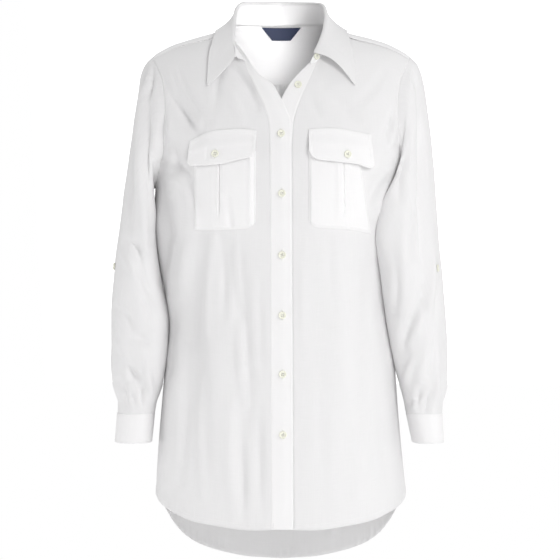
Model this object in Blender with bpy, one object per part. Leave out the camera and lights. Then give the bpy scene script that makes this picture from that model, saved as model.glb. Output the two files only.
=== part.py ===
"""A long-sleeved tunic shirt, hollow, in the shape it has when worn.

Blender 4.5, metres, +Z up. The front faces -Y and the wearer's left is +X. The origin is the middle of
the neck base, level with the high points of the shoulders. Tables and sizes are in millimetres and MM
turns them into metres where a mesh is made.

The cloth lies on one smooth form, which is described by horizontal sections. Each cut piece is a grid of
points on that form, bounded by its seams, with a wall raised outwards from it.
"""

import math

import bmesh
import bpy
import numpy as np

MM = 0.001

# Driving dimensions, millimetres
CLOTH = 1.4  # wall of a single layer
BAND = 1.6  # wall of a stiffened double layer
GAP = 0.4  # clear space at a seam
BUTTON_DIAMETER = 11.0
BUTTON_THICKNESS = 2.4
BUTTON_HEIGHTS = (-169.0, -255.0, -344.0, -431.0, -516.0, -603.0)
ARMPIT = -240.0
SIDE_HEM = -699.0
FRONT_HEM = -739.0
BACK_HEM = -815.0
CUFF_LAP = 24.0
CUFF_START = -72.0  # angle round the wrist where the under end lies
CUFF_LAP_LIFT = BAND + GAP + 0.3
LABEL_TOP_WIDTH = 61.0
LABEL_BOTTOM_WIDTH = 29.0
LABEL_HEIGHT = 19.0
LABEL_TOP = 6.0
LABEL_WALL = 1.0
LABEL_CLEAR = 1.2

# How finely each stretch of a piece is divided
HEM_ROWS = 13
ARM_FRONT_ROWS = 9
ARM_TOP_ROWS = 5
ARM_BACK_ROWS = 9
NECK_COLUMNS = 4
SHOULDER_COLUMNS = 8
YOKE_NECK_COLUMNS = 8
SLEEVE_ROWS = 18
CUFF_COLUMNS = 26
BUTTON_SIDES = 14

RIGHT, LEFT = -1, 1


class Table:
    """Rows of numbers under named columns, read at any value of the first column as a smooth curve."""

    def __init__(self, columns, rows):
        names = columns.split()
        rows = np.array(sorted(rows), float)
        self.keys = rows[:, 0]
        self.values = {name: rows[:, k] for k, name in enumerate(names)}

    def at(self, name, key):
        """Column name at key, by a cubic that never overshoots its rows."""
        x, y = self.keys, self.values[name]
        width = np.diff(x)
        slope = np.diff(y) / width
        inner = np.where(
            slope[1:] * slope[:-1] > 0,
            2 * slope[1:] * slope[:-1] / np.where(slope[1:] + slope[:-1] == 0, 1, slope[1:] + slope[:-1]),
            0.0,
        )
        tangent = np.concatenate([[slope[0]], inner, [slope[-1]]])
        key = np.clip(np.asarray(key, float), x[0], x[-1])
        k = np.clip(np.searchsorted(x, key) - 1, 0, len(x) - 2)
        t = (key - x[k]) / width[k]
        return (
            (1 + 2 * t) * (1 - t) ** 2 * y[k]
            + t * (1 - t) ** 2 * width[k] * tangent[k]
            + t * t * (3 - 2 * t) * y[k + 1]
            + t * t * (t - 1) * width[k] * tangent[k + 1]
        )


# Horizontal sections of the form: half width on each side, depth to the front and to the back, and how
# square the section is (2 is an ellipse). Above the armpit the half width is where the shoulder ridge runs.
FORM = Table(
    "height right left front back square",
    (
        (12, 58, 58, 46, 72, 2.0),
        (0, 70, 70, 52, 76, 1.9),
        (-5, 85, 85, 54, 78, 1.75),
        (-11, 101, 101, 57, 80, 1.7),
        (-21, 138, 138, 61, 84, 1.75),
        (-32, 168, 168, 66, 89, 1.9),
        (-46, 191, 191, 74, 95, 2.1),
        (-62, 204, 204, 83, 101, 2.15),
        (-80, 209, 209, 92, 108, 2.2),
        (-100, 210, 210, 101, 113, 2.3),
        (-130, 207, 207, 112, 119, 2.4),
        (-160, 201, 201, 120, 123, 2.5),
        (-200, 190, 189, 127, 127, 2.55),
        (ARMPIT, 187, 175, 130, 128, 2.55),
        (-285, 189, 167, 130, 126, 2.5),
        (-330, 185.5, 161, 129, 124, 2.4),
        (-365, 180, 157, 129, 123, 2.35),
        (-400, 173, 157, 129, 123, 2.35),
        (-450, 167, 161, 130, 124, 2.35),
        (-503, 172, 168, 131, 127, 2.4),
        (-583, 179, 174, 134, 132, 2.35),
        (-650, 184, 180, 136, 137, 2.3),
        (-700, 186, 185, 138, 141, 2.3),
        (-830, 190, 189, 141, 148, 2.3),
    ),
)

# Neckline: height of the seam against the angle from the front middle, round to the back middle.
NECKLINE = Table(
    "angle height",
    (
        (26, -66),
        (32, -61),
        (45, -40),
        (58, -22),
        (68, -11),
        (80, -4),
        (90, -1),
        (105, 2),
        (120, 4),
        (150, 7),
        (180, 8),
    ),
)
NECK_END = {RIGHT: 32.0, LEFT: 26.5}  # where each front edge meets the neckline
BAND_END = 45.0  # where the front band's own seam meets it
BAND_OVER_SEAM = {RIGHT: 3.0, LEFT: -GAP}  # how far each band runs past its seam
SHOULDER_NECK = 68.0  # where the forward shoulder seam meets it

# Forward shoulder seam: how far it runs below the shoulder ridge.
SHOULDER_DROP = Table("across drop", ((60, 9.5), (107, 11.5), (140, 9.5), (167, 8), (190, 7)))

# Armhole, seen from the side.
ARMHOLE_TOP = -46.0
ARMHOLE_DEPTH = {"front": 76.0, "back": 80.0}
ARMHOLE_EGG = 0.12  # how much fuller it is below than above
FRONT_SEAM_ANGLE = 21.0
BACK_SEAM_ANGLE = -53.0

# Back yoke seam
YOKE_SEAM = Table("across height", ((0, -78), (90, -80), (150, -83), (190, -85)))
YOKE_NECK_WIDTH = 70.0  # the stretch below the neck, where the back is gathered
YOKE_MIDDLE_Y = 12.0  # the line inside the shoulder from which the yoke's points are cast
YOKE_MIDDLE_DROP = 60.0
GATHER_DEPTH = 2.0
GATHER_FADE = 150.0

# Hems: height against the share of the half width.
FRONT_HEMLINE = Table(
    "share height",
    ((0, FRONT_HEM), (0.25, -740), (0.5, -735), (0.7, -729), (0.85, -719), (0.95, -709), (1.0, SIDE_HEM)),
)
BACK_HEMLINE = Table(
    "share height",
    (
        (0, BACK_HEM),
        (0.25, -812),
        (0.45, -804),
        (0.64, -791),
        (0.77, -775),
        (0.86, -755),
        (0.93, -731),
        (1.0, SIDE_HEM),
    ),
)

# Front edges against height along the edge, 0 at the hem and 1 at the neckline. "edge" is the free edge of
# the button band and "seam" the line where the band joins the front.
OPENING = {
    RIGHT: Table(
        "along edge_x edge_z seam_x seam_z",
        (
            (0.00, 16.8, -739, -11.2, -739),
            (0.50, 15.2, -420, -12.8, -420),
            (0.78, 14.2, -200, -13.8, -200),
            (0.84, 13.0, -152, -15.2, -155),
            (0.88, 7.0, -134, -20.5, -134),
            (0.91, -1.0, -117, -28.5, -114),
            (0.94, -13.0, -96, -38.0, -93),
            (0.97, -30.0, -84, -49.0, -70),
            (1.00, -46.0, -62, -59.0, -41),
        ),
    ),
    LEFT: Table(
        "along edge_x edge_z seam_x seam_z",
        (
            (0.00, -10.2, -739, 16.8, -739),
            (0.50, -11.8, -420, 15.2, -420),
            (0.78, -12.8, -200, 14.2, -200),
            (0.84, -11.0, -150, 16.4, -155),
            (0.88, -4.5, -132, 21.5, -134),
            (0.91, 1.5, -114, 28.5, -114),
            (0.94, 11.0, -97, 37.5, -94),
            (0.97, 24.5, -80, 48.0, -70),
            (1.00, 38.0, -66, 60.0, -41),
        ),
    ),
}

# Collar against the angle round the neck: the fold at the top of the stand on each side, and the leaf's
# free edge, which is a point of the form given by its own angle and height and lifted clear of it. The
# leaf stands out between them by the bulge.
COLLAR = Table(
    "angle right_x right_y right_z left_x left_y left_z leaf_angle leaf_z clear bulge",
    (
        (26, -68, -88, -58, 42, -86, -57, 48.5, -101, 5.0, 1),
        (34, -69, -85, -51, 48, -82, -46, 50, -96, 5.0, 1),
        (45, -69.5, -71, -31, 56, -69, -28, 55.5, -62, 5.0, 0),
        (58, -68, -51, -11, 62, -49, -8, 62.5, -33, 4.5, -2),
        (70, -67, -28, 9, 64, -27, 10, 73, -16, 3.2, -3.5),
        (85, -65, -7, 24, 63, -7, 24, 88, -10, 2.6, -5),
        (100, -61, 12, 34, 61, 12, 33, 103, -9, 2.6, -5),
        (120, -56, 36, 40, 56, 36, 39, 122, -9, 2.6, -2.5),
        (150, -36, 61, 43, 36, 61, 43, 150, -8, 2.6, 0),
        (180, 0, 70, 44, 0, 70, 44, 180, -8, 2.6, 2),
    ),
)
STAND_END_SHARE = 0.72  # height of the stand's rounded front end against its full height
STAND_BELOW_FOLD = 2.0  # the stand stops this far below the fold
STAND_LIFT = 2.4  # the stand's lower edge clears the wall it is sewn to
BAND_LIFT = CLOTH + GAP + 0.5  # how far the buttonhole band lies above the form
LEAF_START = {RIGHT: 32.0, LEFT: 33.0}
LEAF_FRONT_BOW = {RIGHT: -3.0, LEFT: 10.0}  # how far the leaf's front edge arches up
LEAF_ROLL = ((0.7, 0.5), (1.9, 2.1), (3.6, 0.6))  # outwards and upwards from the stand's top
LEAF_SHARES = (0.28, 0.62, 1.0)  # rows of the leaf between the roll and its free edge

# Sleeves against the ring number: the ring's outer and inner ends seen from the front, its half depth, how
# far its middle lies behind the side seam, and how far its front swings in over the body. Ring 0 is the
# armhole, and the cuff runs from ring 19 to ring 20.
SLEEVE = {
    RIGHT: Table(
        "ring outer_x outer_z inner_x inner_z half_depth middle lean",
        (
            (0, 190, -46, 180, -240, 78, 2, 0),
            (1, 201, -58, 188.5, -243.5, 79, 2, 0),
            (2, 210, -86, 193.5, -248, 79, 2, 2),
            (3, 217, -124, 195, -256, 78, 1, 5),
            (4, 224, -170, 195, -268, 76, 0, 6),
            (5, 230, -215, 193, -288, 74, -4, 6),
            (7, 241, -300, 188, -325, 69, -10, 4),
            (9, 249, -375, 180, -382, 64, -15, 2),
            (11, 252.5, -440, 171, -440, 60, -18, 0),
            (13, 252.5, -495, 172, -495, 57, -20, 0),
            (15, 250, -533, 177, -532, 52, -20, 0),
            (16, 246, -549, 182, -548, 49, -20, 0),
            (17, 242, -562, 187, -561, 47, -20, 0),
            (18, 242.5, -577.2, 189.7, -577.2, 46, -21, 0),
            (19, 243, -577.7, 190, -577.7, 46, -21, 0),
            (20, 246, -620, 194, -620, 46, -23, 0),
        ),
    ),
    LEFT: Table(
        "ring outer_x outer_z inner_x inner_z half_depth middle lean",
        (
            (0, 190, -46, 174, -240, 78, 2, 0),
            (1, 202, -58, 182, -243.5, 79, 1, 2),
            (2, 211, -84, 187, -248, 79, -2, 8),
            (3, 217, -122, 187, -256, 79, -4, 13),
            (4, 222, -165, 181, -271, 77, -9, 20),
            (5, 225, -210, 167, -290, 74.5, -19.5, 27),
            (7, 231.5, -305, 146, -325, 68, -33, 22),
            (9, 238, -370, 151, -382, 61, -34, 13),
            (11, 244, -440, 156, -440, 58, -26, 6),
            (13, 247, -500, 167, -497, 54, -24, 2),
            (15, 245.5, -538, 177, -535, 50, -24, 0),
            (16, 242, -552, 181, -550, 48, -24, 0),
            (17, 238.5, -563, 184, -562, 47, -25, 0),
            (18, 237.8, -577.2, 186.7, -577.2, 46, -26, 0),
            (19, 238, -577.7, 187, -577.7, 46, -26, 0),
            (20, 240, -620, 196, -620, 45, -28, 0),
        ),
    ),
}
SLEEVE_SQUARE = 2.4  # below the sleeve head its rings are a little square, where 2 is an ellipse
BODY_CLEARANCE = {RIGHT: 3.6, LEFT: 5.6}  # from the form to a sleeve that hangs beside it

# Main folds, seen from the front: ends of the fold, its half width and how far it stands out (+) or in (-).
# face is which half of the cloth it lies on.
FOLDS = {
    "body": (
        # face, from_x, from_z, to_x, to_z, half_width, depth
        ("front", -170, -90, -120, -168, 13, -7.5),
        ("front", -72, -330, -46, -520, 15, -7.5),
        ("front", -46, -520, -38, -640, 13, -6.0),
        ("front", -104, -420, -84, -690, 16, 4.5),
        ("front", -128, -310, -122, -640, 17, -9.0),
        ("front", -130, -285, -152, -405, 11, 5.0),
        ("front", -160, -265, -166, -390, 12, -6.0),
        ("front", -150, -215, -112, -300, 12, -4.5),
        ("front", 178, -118, 162, -168, 9, 1.5),
        ("front", 120, -400, 128, -640, 18, -5.0),
        ("front", 84, -330, 92, -560, 20, 3.0),
        ("front", 60, -100, 120, -160, 12, -4.0),
        ("back", -120, -170, -70, -330, 16, -7.5),
        ("back", 118, -175, 74, -320, 15, -7.0),
        ("back", -40, -330, -52, -640, 20, 6.0),
        ("back", 30, -300, 44, -700, 22, -6.0),
        ("back", 92, -420, 104, -690, 18, 6.0),
        ("back", -112, -400, -124, -690, 18, -6.0),
        ("back", 0, -420, -4, -760, 18, 4.5),
    ),
    "sleeve_right": (
        ("front", -207, -90, -208, -320, 8, 6.0),
        ("front", -221, -120, -222, -300, 7, -5.0),
        ("front", -192, -100, -196, -260, 8, -6.0),
        ("front", -213, -328, -190, -448, 10, -8.0),
        ("front", -236, -380, -226, -500, 11, 4.5),
        ("front", -216, -462, -190, -478, 8, -6.0),
        ("front", -232, -486, -206, -540, 9, -7.0),
        ("front", -240, -530, -214, -568, 6, -5.0),
        ("back", -226, -180, -214, -360, 12, -7.0),
        ("back", -206, -300, -232, -440, 12, 6.0),
        ("back", -196, -420, -236, -500, 11, -7.5),
        ("back", -200, -520, -226, -560, 8, -5.0),
    ),
    "sleeve_left": (
        ("front", 206, -70, 208, -395, 9, -8.0),
        ("front", 208, -395, 190, -440, 9, -7.5),
        ("front", 190, -440, 180, -490, 8, -6.0),
        ("front", 224, -110, 226, -330, 8, 4.0),
        ("front", 186, -300, 172, -420, 11, 5.0),
        ("front", 236, -440, 240, -540, 8, -5.0),
        ("front", 214, -470, 204, -545, 10, 5.0),
        ("front", 206, -536, 188, -566, 6, -6.0),
        ("back", 222, -170, 208, -350, 12, -7.0),
        ("back", 200, -310, 228, -450, 12, 6.0),
        ("back", 192, -430, 232, -505, 11, -7.5),
    ),
}

# Patch pockets and their flaps, seen from the front: x of the inner and the outer edge at the top and at the
# bottom, and heights of the top and the bottom edge against the share of the way from inner to outer edge.
POCKETS = {
    RIGHT: {
        "inner": (-37.5, -37.5),
        "outer": (-126.0, -126.0),
        "edges": Table(
            "share top bottom",
            (
                (0, -194, -296),
                (0.05, -194, -301),
                (0.16, -196, -305.7),
                (0.79, -203, -307.6),
                (1, -206, -307),
            ),
        ),
        "pleat": -89.5,
    },
    LEFT: {
        "inner": (39.5, 39.5),
        "outer": (114.0, 129.5),
        "edges": Table(
            "share top bottom",
            ((0, -192, -294), (0.04, -192, -300), (0.12, -194, -303.5), (0.7, -202, -307), (1, -206, -312)),
        ),
        "pleat": 89.5,
    },
}
FLAPS = {
    RIGHT: {
        "inner": (-36.5, -38.0),
        "outer": (-132.5, -133.0),
        "edges": Table(
            "share top bottom",
            (
                (0, -164.7, -195),
                (0.07, -163, -203),
                (0.24, -161.7, -207),
                (0.57, -163, -213.5),
                (0.8, -168.5, -214.5),
                (0.96, -176, -214.5),
                (1, -177.7, -210),
            ),
        ),
    },
    LEFT: {
        "inner": (39.5, 39.5),
        "outer": (129.5, 131.5),
        "edges": Table(
            "share top bottom",
            (
                (0, -162.5, -194),
                (0.05, -162, -202),
                (0.14, -161.3, -206.5),
                (0.4, -160.4, -209),
                (0.76, -165, -212.6),
                (0.95, -168.2, -217),
                (1, -168.7, -213),
            ),
        ),
    },
}
PATCH_COLUMNS = (0, 0.05, 0.15, 0.3, 0.45, 0.6, 0.78, 0.95, 1)
OPEN_BUTTON = (24.5, -96.5)
COLLAR_BUTTON_ANGLE = 33.5
COLLAR_BUTTON_SHARE = 0.42
COLLAR_BUTTON_DIAMETER = 9.5
FLAP_BUTTONS = {RIGHT: (-93.5, -198.5), LEFT: (93.5, -199.0)}
TAB_BUTTON_LIFT = 0.6
TAB_BUTTONS = {RIGHT: (18.0, -360.0), LEFT: (29.0, -363.0)}  # angle round the sleeve and height
POCKET_LIFT = 1.3
PLEAT_HALF_WIDTH = 9.0
PLEAT_RISE = 1.0
PLEAT_FALL = 6.0  # how far beside the pleat its rise dies away
FLAP_LIFT = POCKET_LIFT + CLOTH + PLEAT_RISE + 0.6  # over the pocket
FLAP_TOP_LIFT = 0.9  # where the flap is sewn down


# ---------------------------------------------------------------------------------------------- the form


def half_width(height, side):
    """Half width of the form on one side, by height."""
    return np.where(np.asarray(side) < 0, FORM.at("right", height), FORM.at("left", height))


def reach(x, y, z):
    """1 on the form, less inside it and more outside."""
    square = FORM.at("square", z)
    depth = np.where(y < 0, FORM.at("front", z), FORM.at("back", z))
    across = np.abs(x) / half_width(z, x)
    return (across**square + (np.abs(y) / depth) ** square) ** (1 / square)


def form_depth(x, z, face):
    """y of the form's front or back at (x, z)."""
    square = FORM.at("square", z)
    share = np.clip(1 - (np.abs(x) / half_width(z, x)) ** square, 0, None) ** (1 / square)
    return -FORM.at("front", z) * share if face == "front" else FORM.at("back", z) * share


def form_side(y, z, side):
    """x of the form at (y, z), on one side."""
    square = FORM.at("square", z)
    depth = np.where(np.asarray(y) < 0, FORM.at("front", z), FORM.at("back", z))
    share = np.clip(1 - (np.abs(y) / depth) ** square, 0, None) ** (1 / square)
    return side * half_width(z, side) * share


def form_round(angle, z, side):
    """Point of the form at an angle from the front middle, seen from above, and a height."""
    turn = np.radians(angle)
    direction = np.stack([side * np.sin(turn), -np.cos(turn), np.zeros_like(turn)], -1)
    size = 1 / reach(direction[..., 0] + 1e-9 * side, direction[..., 1], z)
    point = direction * size[..., None]
    point[..., 2] = z
    return point


def form_normal(points):
    """Outward unit normals of the form."""
    step = 0.5
    gradient = []
    for axis in range(3):
        shift = np.zeros(3)
        shift[axis] = step
        ahead, behind = points + shift, points - shift
        gradient.append(reach(*np.moveaxis(ahead, -1, 0)) - reach(*np.moveaxis(behind, -1, 0)))
    return unit(np.stack(gradient, -1))


def unit(vectors):
    """Vectors scaled to length 1."""
    return vectors / np.maximum(np.linalg.norm(vectors, axis=-1, keepdims=True), 1e-9)


def cast(start, direction):
    """Where rays from inside the form meet it, by halving."""
    near = np.zeros(start.shape[:-1])
    far = np.full(start.shape[:-1], 260.0)
    for _ in range(40):
        middle = (near + far) / 2
        point = start + direction * middle[..., None]
        inside = reach(*np.moveaxis(point, -1, 0)) < 1
        near = np.where(inside, middle, near)
        far = np.where(inside, far, middle)
    return start + direction * far[..., None]


# ----------------------------------------------------------------------------------------------- seam lines


def armhole(angles, side):
    """Points of the armhole: 0 degrees at the top, 180 at the armpit, positive angles at the front."""
    turn = np.radians(angles)
    middle, radius = (ARMHOLE_TOP + ARMPIT) / 2, (ARMHOLE_TOP - ARMPIT) / 2
    depth = np.where(np.sin(turn) > 0, ARMHOLE_DEPTH["front"], ARMHOLE_DEPTH["back"])
    y = -depth * np.sin(turn) * (1 - ARMHOLE_EGG * np.cos(turn))
    z = middle + radius * np.cos(turn)
    return np.stack([form_side(y, z, side), y, z], -1)


def armhole_angles():
    """Angles of the armhole's points, from the armpit up the front, over the top and down the back."""
    front = np.linspace(180, FRONT_SEAM_ANGLE, ARM_FRONT_ROWS + 1)
    top = np.linspace(FRONT_SEAM_ANGLE, BACK_SEAM_ANGLE, ARM_TOP_ROWS + 1)
    back = np.linspace(BACK_SEAM_ANGLE, -180, ARM_BACK_ROWS + 1)
    return front, top, back


def armhole_loop():
    """The same angles once round, as a sleeve's columns."""
    front, over, back = armhole_angles()
    return np.concatenate([front, over[1:], back[1:-1]])


def neck_points(angles, side):
    """Points of the neckline at angles from the front middle."""
    return form_round(angles, NECKLINE.at("height", angles), side)


def shoulder_ridge(x):
    """Height of the shoulder ridge over x."""
    heights = np.linspace(12, -70, 200)
    return np.interp(np.abs(x), FORM.at("right", heights), heights)


def shoulder_seam(side):
    """Points of the forward shoulder seam, from the neck to the armhole."""
    neck = neck_points(np.array([SHOULDER_NECK]), side)[0]
    tip = armhole(np.array([FRONT_SEAM_ANGLE]), side)[0]
    x = np.linspace(neck[0], tip[0], SHOULDER_COLUMNS + 1)
    z = shoulder_ridge(x) - SHOULDER_DROP.at("drop", np.abs(x))
    z += np.linspace(neck[2] - z[0], tip[2] - z[-1], len(x))
    return np.stack([x, form_depth(x, z, "front"), z], -1)


def even_points(line, shares):
    """Points at the given shares of a line's length."""
    length = np.concatenate([[0], np.cumsum(np.linalg.norm(np.diff(line, axis=0), axis=1))])
    return np.stack([np.interp(np.asarray(shares) * length[-1], length, line[:, k]) for k in range(3)], -1)


def section(start_x, z, side, face, shares):
    """Points round one section, from start_x to the side seam. z may differ from share to share."""
    turns = np.linspace(0, math.pi / 2, 181)
    points = []
    for share, height in zip(shares, z):
        square = float(FORM.at("square", height))
        x = side * half_width(height, side) * np.sin(turns) ** (2 / square)
        line = np.stack([x, form_depth(x, np.full_like(x, height), face), np.full_like(x, height)], -1)
        keep = side * x > side * start_x
        first = np.array([[start_x, form_depth(np.array(start_x), height, face), height]])
        points.append(even_points(np.concatenate([first, line[keep]]), [share])[0])
    return np.array(points)


# --------------------------------------------------------------------------------------------------- folds


def folded(group, points, normals, hold):
    """Points moved along their normals by a group's folds. hold is 0 where a seam stays put, 1 elsewhere."""
    moved = np.zeros(points.shape[:-1])
    for face, from_x, from_z, to_x, to_z, width, depth in FOLDS[group]:
        start, end = np.array([from_x, from_z], float), np.array([to_x, to_z], float)
        run = end - start
        flat = points[..., [0, 2]] - start
        along = np.clip((flat @ run) / (run @ run), 0, 1)
        away = np.linalg.norm(flat - along[..., None] * run, axis=-1)
        facing = -normals[..., 1] if face == "front" else normals[..., 1]
        seen = np.clip(facing * 1.6, 0, 1)
        swell = np.sin(math.pi * np.clip(along, 0.12, 0.88)) ** 0.6
        moved += depth * np.exp(-((away / width) ** 2)) * swell * seen
    return points + normals * (moved * hold)[..., None]


def grid_normals(points, ring=False):
    """Normals of a grid of points, from its neighbours. Rows run along axis 0; a ring closes along axis 1."""
    down = np.gradient(points, axis=0)
    if ring:
        across = (np.roll(points, -1, axis=1) - np.roll(points, 1, axis=1)) / 2
    else:
        across = np.gradient(points, axis=1)
    return unit(np.cross(across, down))


def outward(points, normals):
    """Normals turned so that they point away from the form."""
    agree = (normals * form_normal(points)).sum(-1).mean()
    return normals if agree > 0 else -normals


def smooth_step(x):
    """0 below 0, 1 above 1 and an even rise between them."""
    x = np.clip(x, 0, 1)
    return x * x * (3 - 2 * x)


def trimmed(points, ring=False, ends=(True, True, True, True)):
    """The grid with half a seam gap taken off its edges: first row, last row, first column, last column."""
    points = points.copy()
    first_row, last_row, first_column, last_column = ends
    half = GAP / 2
    if first_row:
        points[0] += unit(points[1] - points[0]) * half
    if last_row:
        points[-1] += unit(points[-2] - points[-1]) * half
    if not ring and first_column:
        points[:, 0] += unit(points[:, 1] - points[:, 0]) * half
    if not ring and last_column:
        points[:, -1] += unit(points[:, -2] - points[:, -1]) * half
    return points


# ------------------------------------------------------------------------------------------ solids, objects


def finish(name, colour, roughness):
    """A plain material."""
    material = bpy.data.materials.new(name)
    material.use_nodes = True
    shader = material.node_tree.nodes["Principled BSDF"]
    shader.inputs["Base Color"].default_value = (*colour, 1)
    shader.inputs["Roughness"].default_value = roughness
    shader.inputs["Metallic"].default_value = 0.0
    return material


def add_mesh(name, points, faces, material):
    """A smooth-shaded object from points in millimetres, with its faces turned outwards."""
    mesh = bpy.data.meshes.new(name)
    shape = bmesh.new()
    corners = [shape.verts.new(point * MM) for point in points]
    for face in faces:
        shape.faces.new([corners[k] for k in face])
    bmesh.ops.recalc_face_normals(shape, faces=shape.faces)
    if shape.calc_volume(signed=True) < 0:
        bmesh.ops.reverse_faces(shape, faces=shape.faces)
    shape.to_mesh(mesh)
    shape.free()
    mesh.shade_smooth()
    mesh.set_sharp_from_angle(angle=math.radians(50))
    mesh.materials.append(material)
    thing = bpy.data.objects.new(name, mesh)
    bpy.context.scene.collection.objects.link(thing)
    return thing


def add_wall(name, inner, outer, material, ring=False):
    """A closed wall between two grids of points. With ring, each row closes on itself."""
    rows, columns = inner.shape[:2]
    count = rows * columns
    points = np.concatenate([inner.reshape(-1, 3), outer.reshape(-1, 3)])

    def at(row, column, face):
        return face * count + row * columns + column % columns

    faces = []
    steps = columns if ring else columns - 1
    for row in range(rows - 1):
        for column in range(steps):
            for face in (0, 1):
                a, b = at(row, column, face), at(row, column + 1, face)
                c, d = at(row + 1, column + 1, face), at(row + 1, column, face)
                faces += [(a, b, c), (a, c, d)] if face else [(c, b, a), (d, c, a)]
    border = []
    for column in range(steps):
        border.append((at(0, column, 0), at(0, column + 1, 0)))
        border.append((at(rows - 1, column + 1, 0), at(rows - 1, column, 0)))
    if not ring:
        for row in range(rows - 1):
            border.append((at(row + 1, 0, 0), at(row, 0, 0)))
            border.append((at(row, columns - 1, 0), at(row + 1, columns - 1, 0)))
    for a, b in border:
        faces += [(a, b, b + count), (a, b + count, a + count)]
    return add_mesh(name, points, faces, material)


# ---------------------------------------------------------------------------------------------- cut pieces


def coons(bottom, top, first, last, shares):
    """A grid between four edges, rows from bottom to top and columns from first to last."""
    v = np.linspace(0, 1, len(first))[:, None, None]
    f = np.asarray(shares)[None, :, None]
    ruled = (1 - v) * bottom[None] + v * top[None]
    start = (1 - v) * bottom[0] + v * top[0]
    end = (1 - v) * bottom[-1] + v * top[-1]
    return ruled + (1 - f) * (first[:, None] - start) + f * (last[:, None] - end)


def opening_line(side, line, along):
    """Points of a front edge, or of its band's seam, at values from 0 at the hem to 1 at the neckline."""
    x = OPENING[side].at(line + "_x", along)
    z = OPENING[side].at(line + "_z", along)
    return np.stack([x, form_depth(x, z, "front"), z], -1)


def along_at_height(side, height):
    """Where on the band's seam a height is reached."""
    along = np.linspace(0, 1, 400)
    return float(np.interp(height, OPENING[side].at("seam_z", along), along))


def front_along(side):
    """The rows of a front, as values along its edge: below the armpit, then above it."""
    split = along_at_height(side, ARMPIT)
    below, above = np.linspace(0, split, HEM_ROWS + 1), np.linspace(split, 1, ARM_FRONT_ROWS + 1)
    return np.concatenate([below, above[1:]])


def hung_row(row, start_x, side, face, shares, hemline):
    """A row below the armpit: row 0 follows the hem and the last one is straight."""
    level = row / HEM_ROWS
    middle = level * ARMPIT + (1 - level) * SIDE_HEM
    level_points = section(start_x, np.full(len(shares), middle), side, face, shares)
    across = np.abs(level_points[:, 0]) / half_width(np.full(len(shares), middle), side)
    heights = level * ARMPIT + (1 - level) * hemline.at("height", across)
    return section(start_x, heights, side, face, shares)


def front_surface(side):
    """Points and normals of a front's inner face."""
    columns = NECK_COLUMNS + SHOULDER_COLUMNS
    shares = np.linspace(0, 1, columns + 1)
    seam = opening_line(side, "seam", front_along(side))
    lower = [hung_row(row, seam[row, 0], side, "front", shares, FRONT_HEMLINE) for row in range(HEM_ROWS + 1)]
    lower = np.array(lower)
    front_angles, _, _ = armhole_angles()
    neck = neck_points(np.linspace(BAND_END, SHOULDER_NECK, NECK_COLUMNS + 1), side)
    top = np.concatenate([neck[:-1], shoulder_seam(side)])
    arm = armhole(front_angles, side)
    inner_edge = seam[HEM_ROWS:].copy()
    inner_edge[0] = lower[-1][0]
    upper = coons(lower[-1], top, inner_edge, arm, shares)
    inside = upper[1:-1, 1:-1]
    inside[..., 1] = form_depth(inside[..., 0], inside[..., 2], "front")
    points = np.concatenate([lower, upper[1:]])
    return hang_folds(points, "front")


def hang_folds(points, face):
    """Folds laid into a body piece, and the normals of the result. Edges keep the form's own normals."""
    normals = form_normal(points)
    rows, columns = points.shape[:2]
    row_number = np.arange(rows)[:, None] * np.ones((1, columns))
    column_number = np.arange(columns)[None, :] * np.ones((rows, 1))
    from_top = smooth_step((rows - 1 - row_number) / 2.5)
    from_side = smooth_step((columns - 1 - column_number) / 2.5)
    hold = from_top * from_side
    if face == "back":
        hold = hold * smooth_step(column_number / 2.5)
    else:
        hold = hold * smooth_step(column_number / 1.5)
    points = folded("body", points, normals, hold)
    fresh = outward(points, grid_normals(points))
    weight = smooth_step(hold)[..., None]
    return points, unit(normals * (1 - weight) + fresh * weight)


def yoke_seam(side):
    """Points of the back yoke seam, from the middle of the back to the armhole."""
    _, over, _ = armhole_angles()
    tip = armhole(over[-1:], side)[0]
    x = np.concatenate(
        [
            side * np.linspace(0, YOKE_NECK_WIDTH, YOKE_NECK_COLUMNS + 1),
            np.linspace(side * YOKE_NECK_WIDTH, tip[0], SHOULDER_COLUMNS + 1)[1:],
        ]
    )
    z = YOKE_SEAM.at("height", np.abs(x))
    z += np.linspace(0, 1, len(x)) ** 4 * (tip[2] - z[-1])
    return np.stack([x, form_depth(x, z, "back"), z], -1)


def yoke_half(side):
    """Grid of one half of the yoke. Rows fan round the neck, from the neckline to the back seam, and columns
    run from the middle of the back to the shoulder seam and the armhole."""
    neck = neck_points(np.linspace(180, SHOULDER_NECK, YOKE_NECK_COLUMNS + 1), side)
    seam = yoke_seam(side)[::2]
    _, over, _ = armhole_angles()
    outer = np.concatenate([shoulder_seam(side), armhole(over, side)[1:]])
    middle_z = np.linspace(neck[0, 2], seam[0, 2], len(outer))
    middle = np.stack([0 * middle_z, form_depth(0 * middle_z, middle_z, "back"), middle_z], -1)
    grid = coons(neck, seam, middle, outer, np.linspace(0, 1, len(neck)))
    inside = grid[1:-1, 1:-1]
    x = inside[..., 0]
    start = np.stack([x, np.full_like(x, YOKE_MIDDLE_Y), shoulder_ridge(x) - YOKE_MIDDLE_DROP], -1)
    grid[1:-1, 1:-1] = cast(start, unit(inside - start))
    return grid


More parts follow.
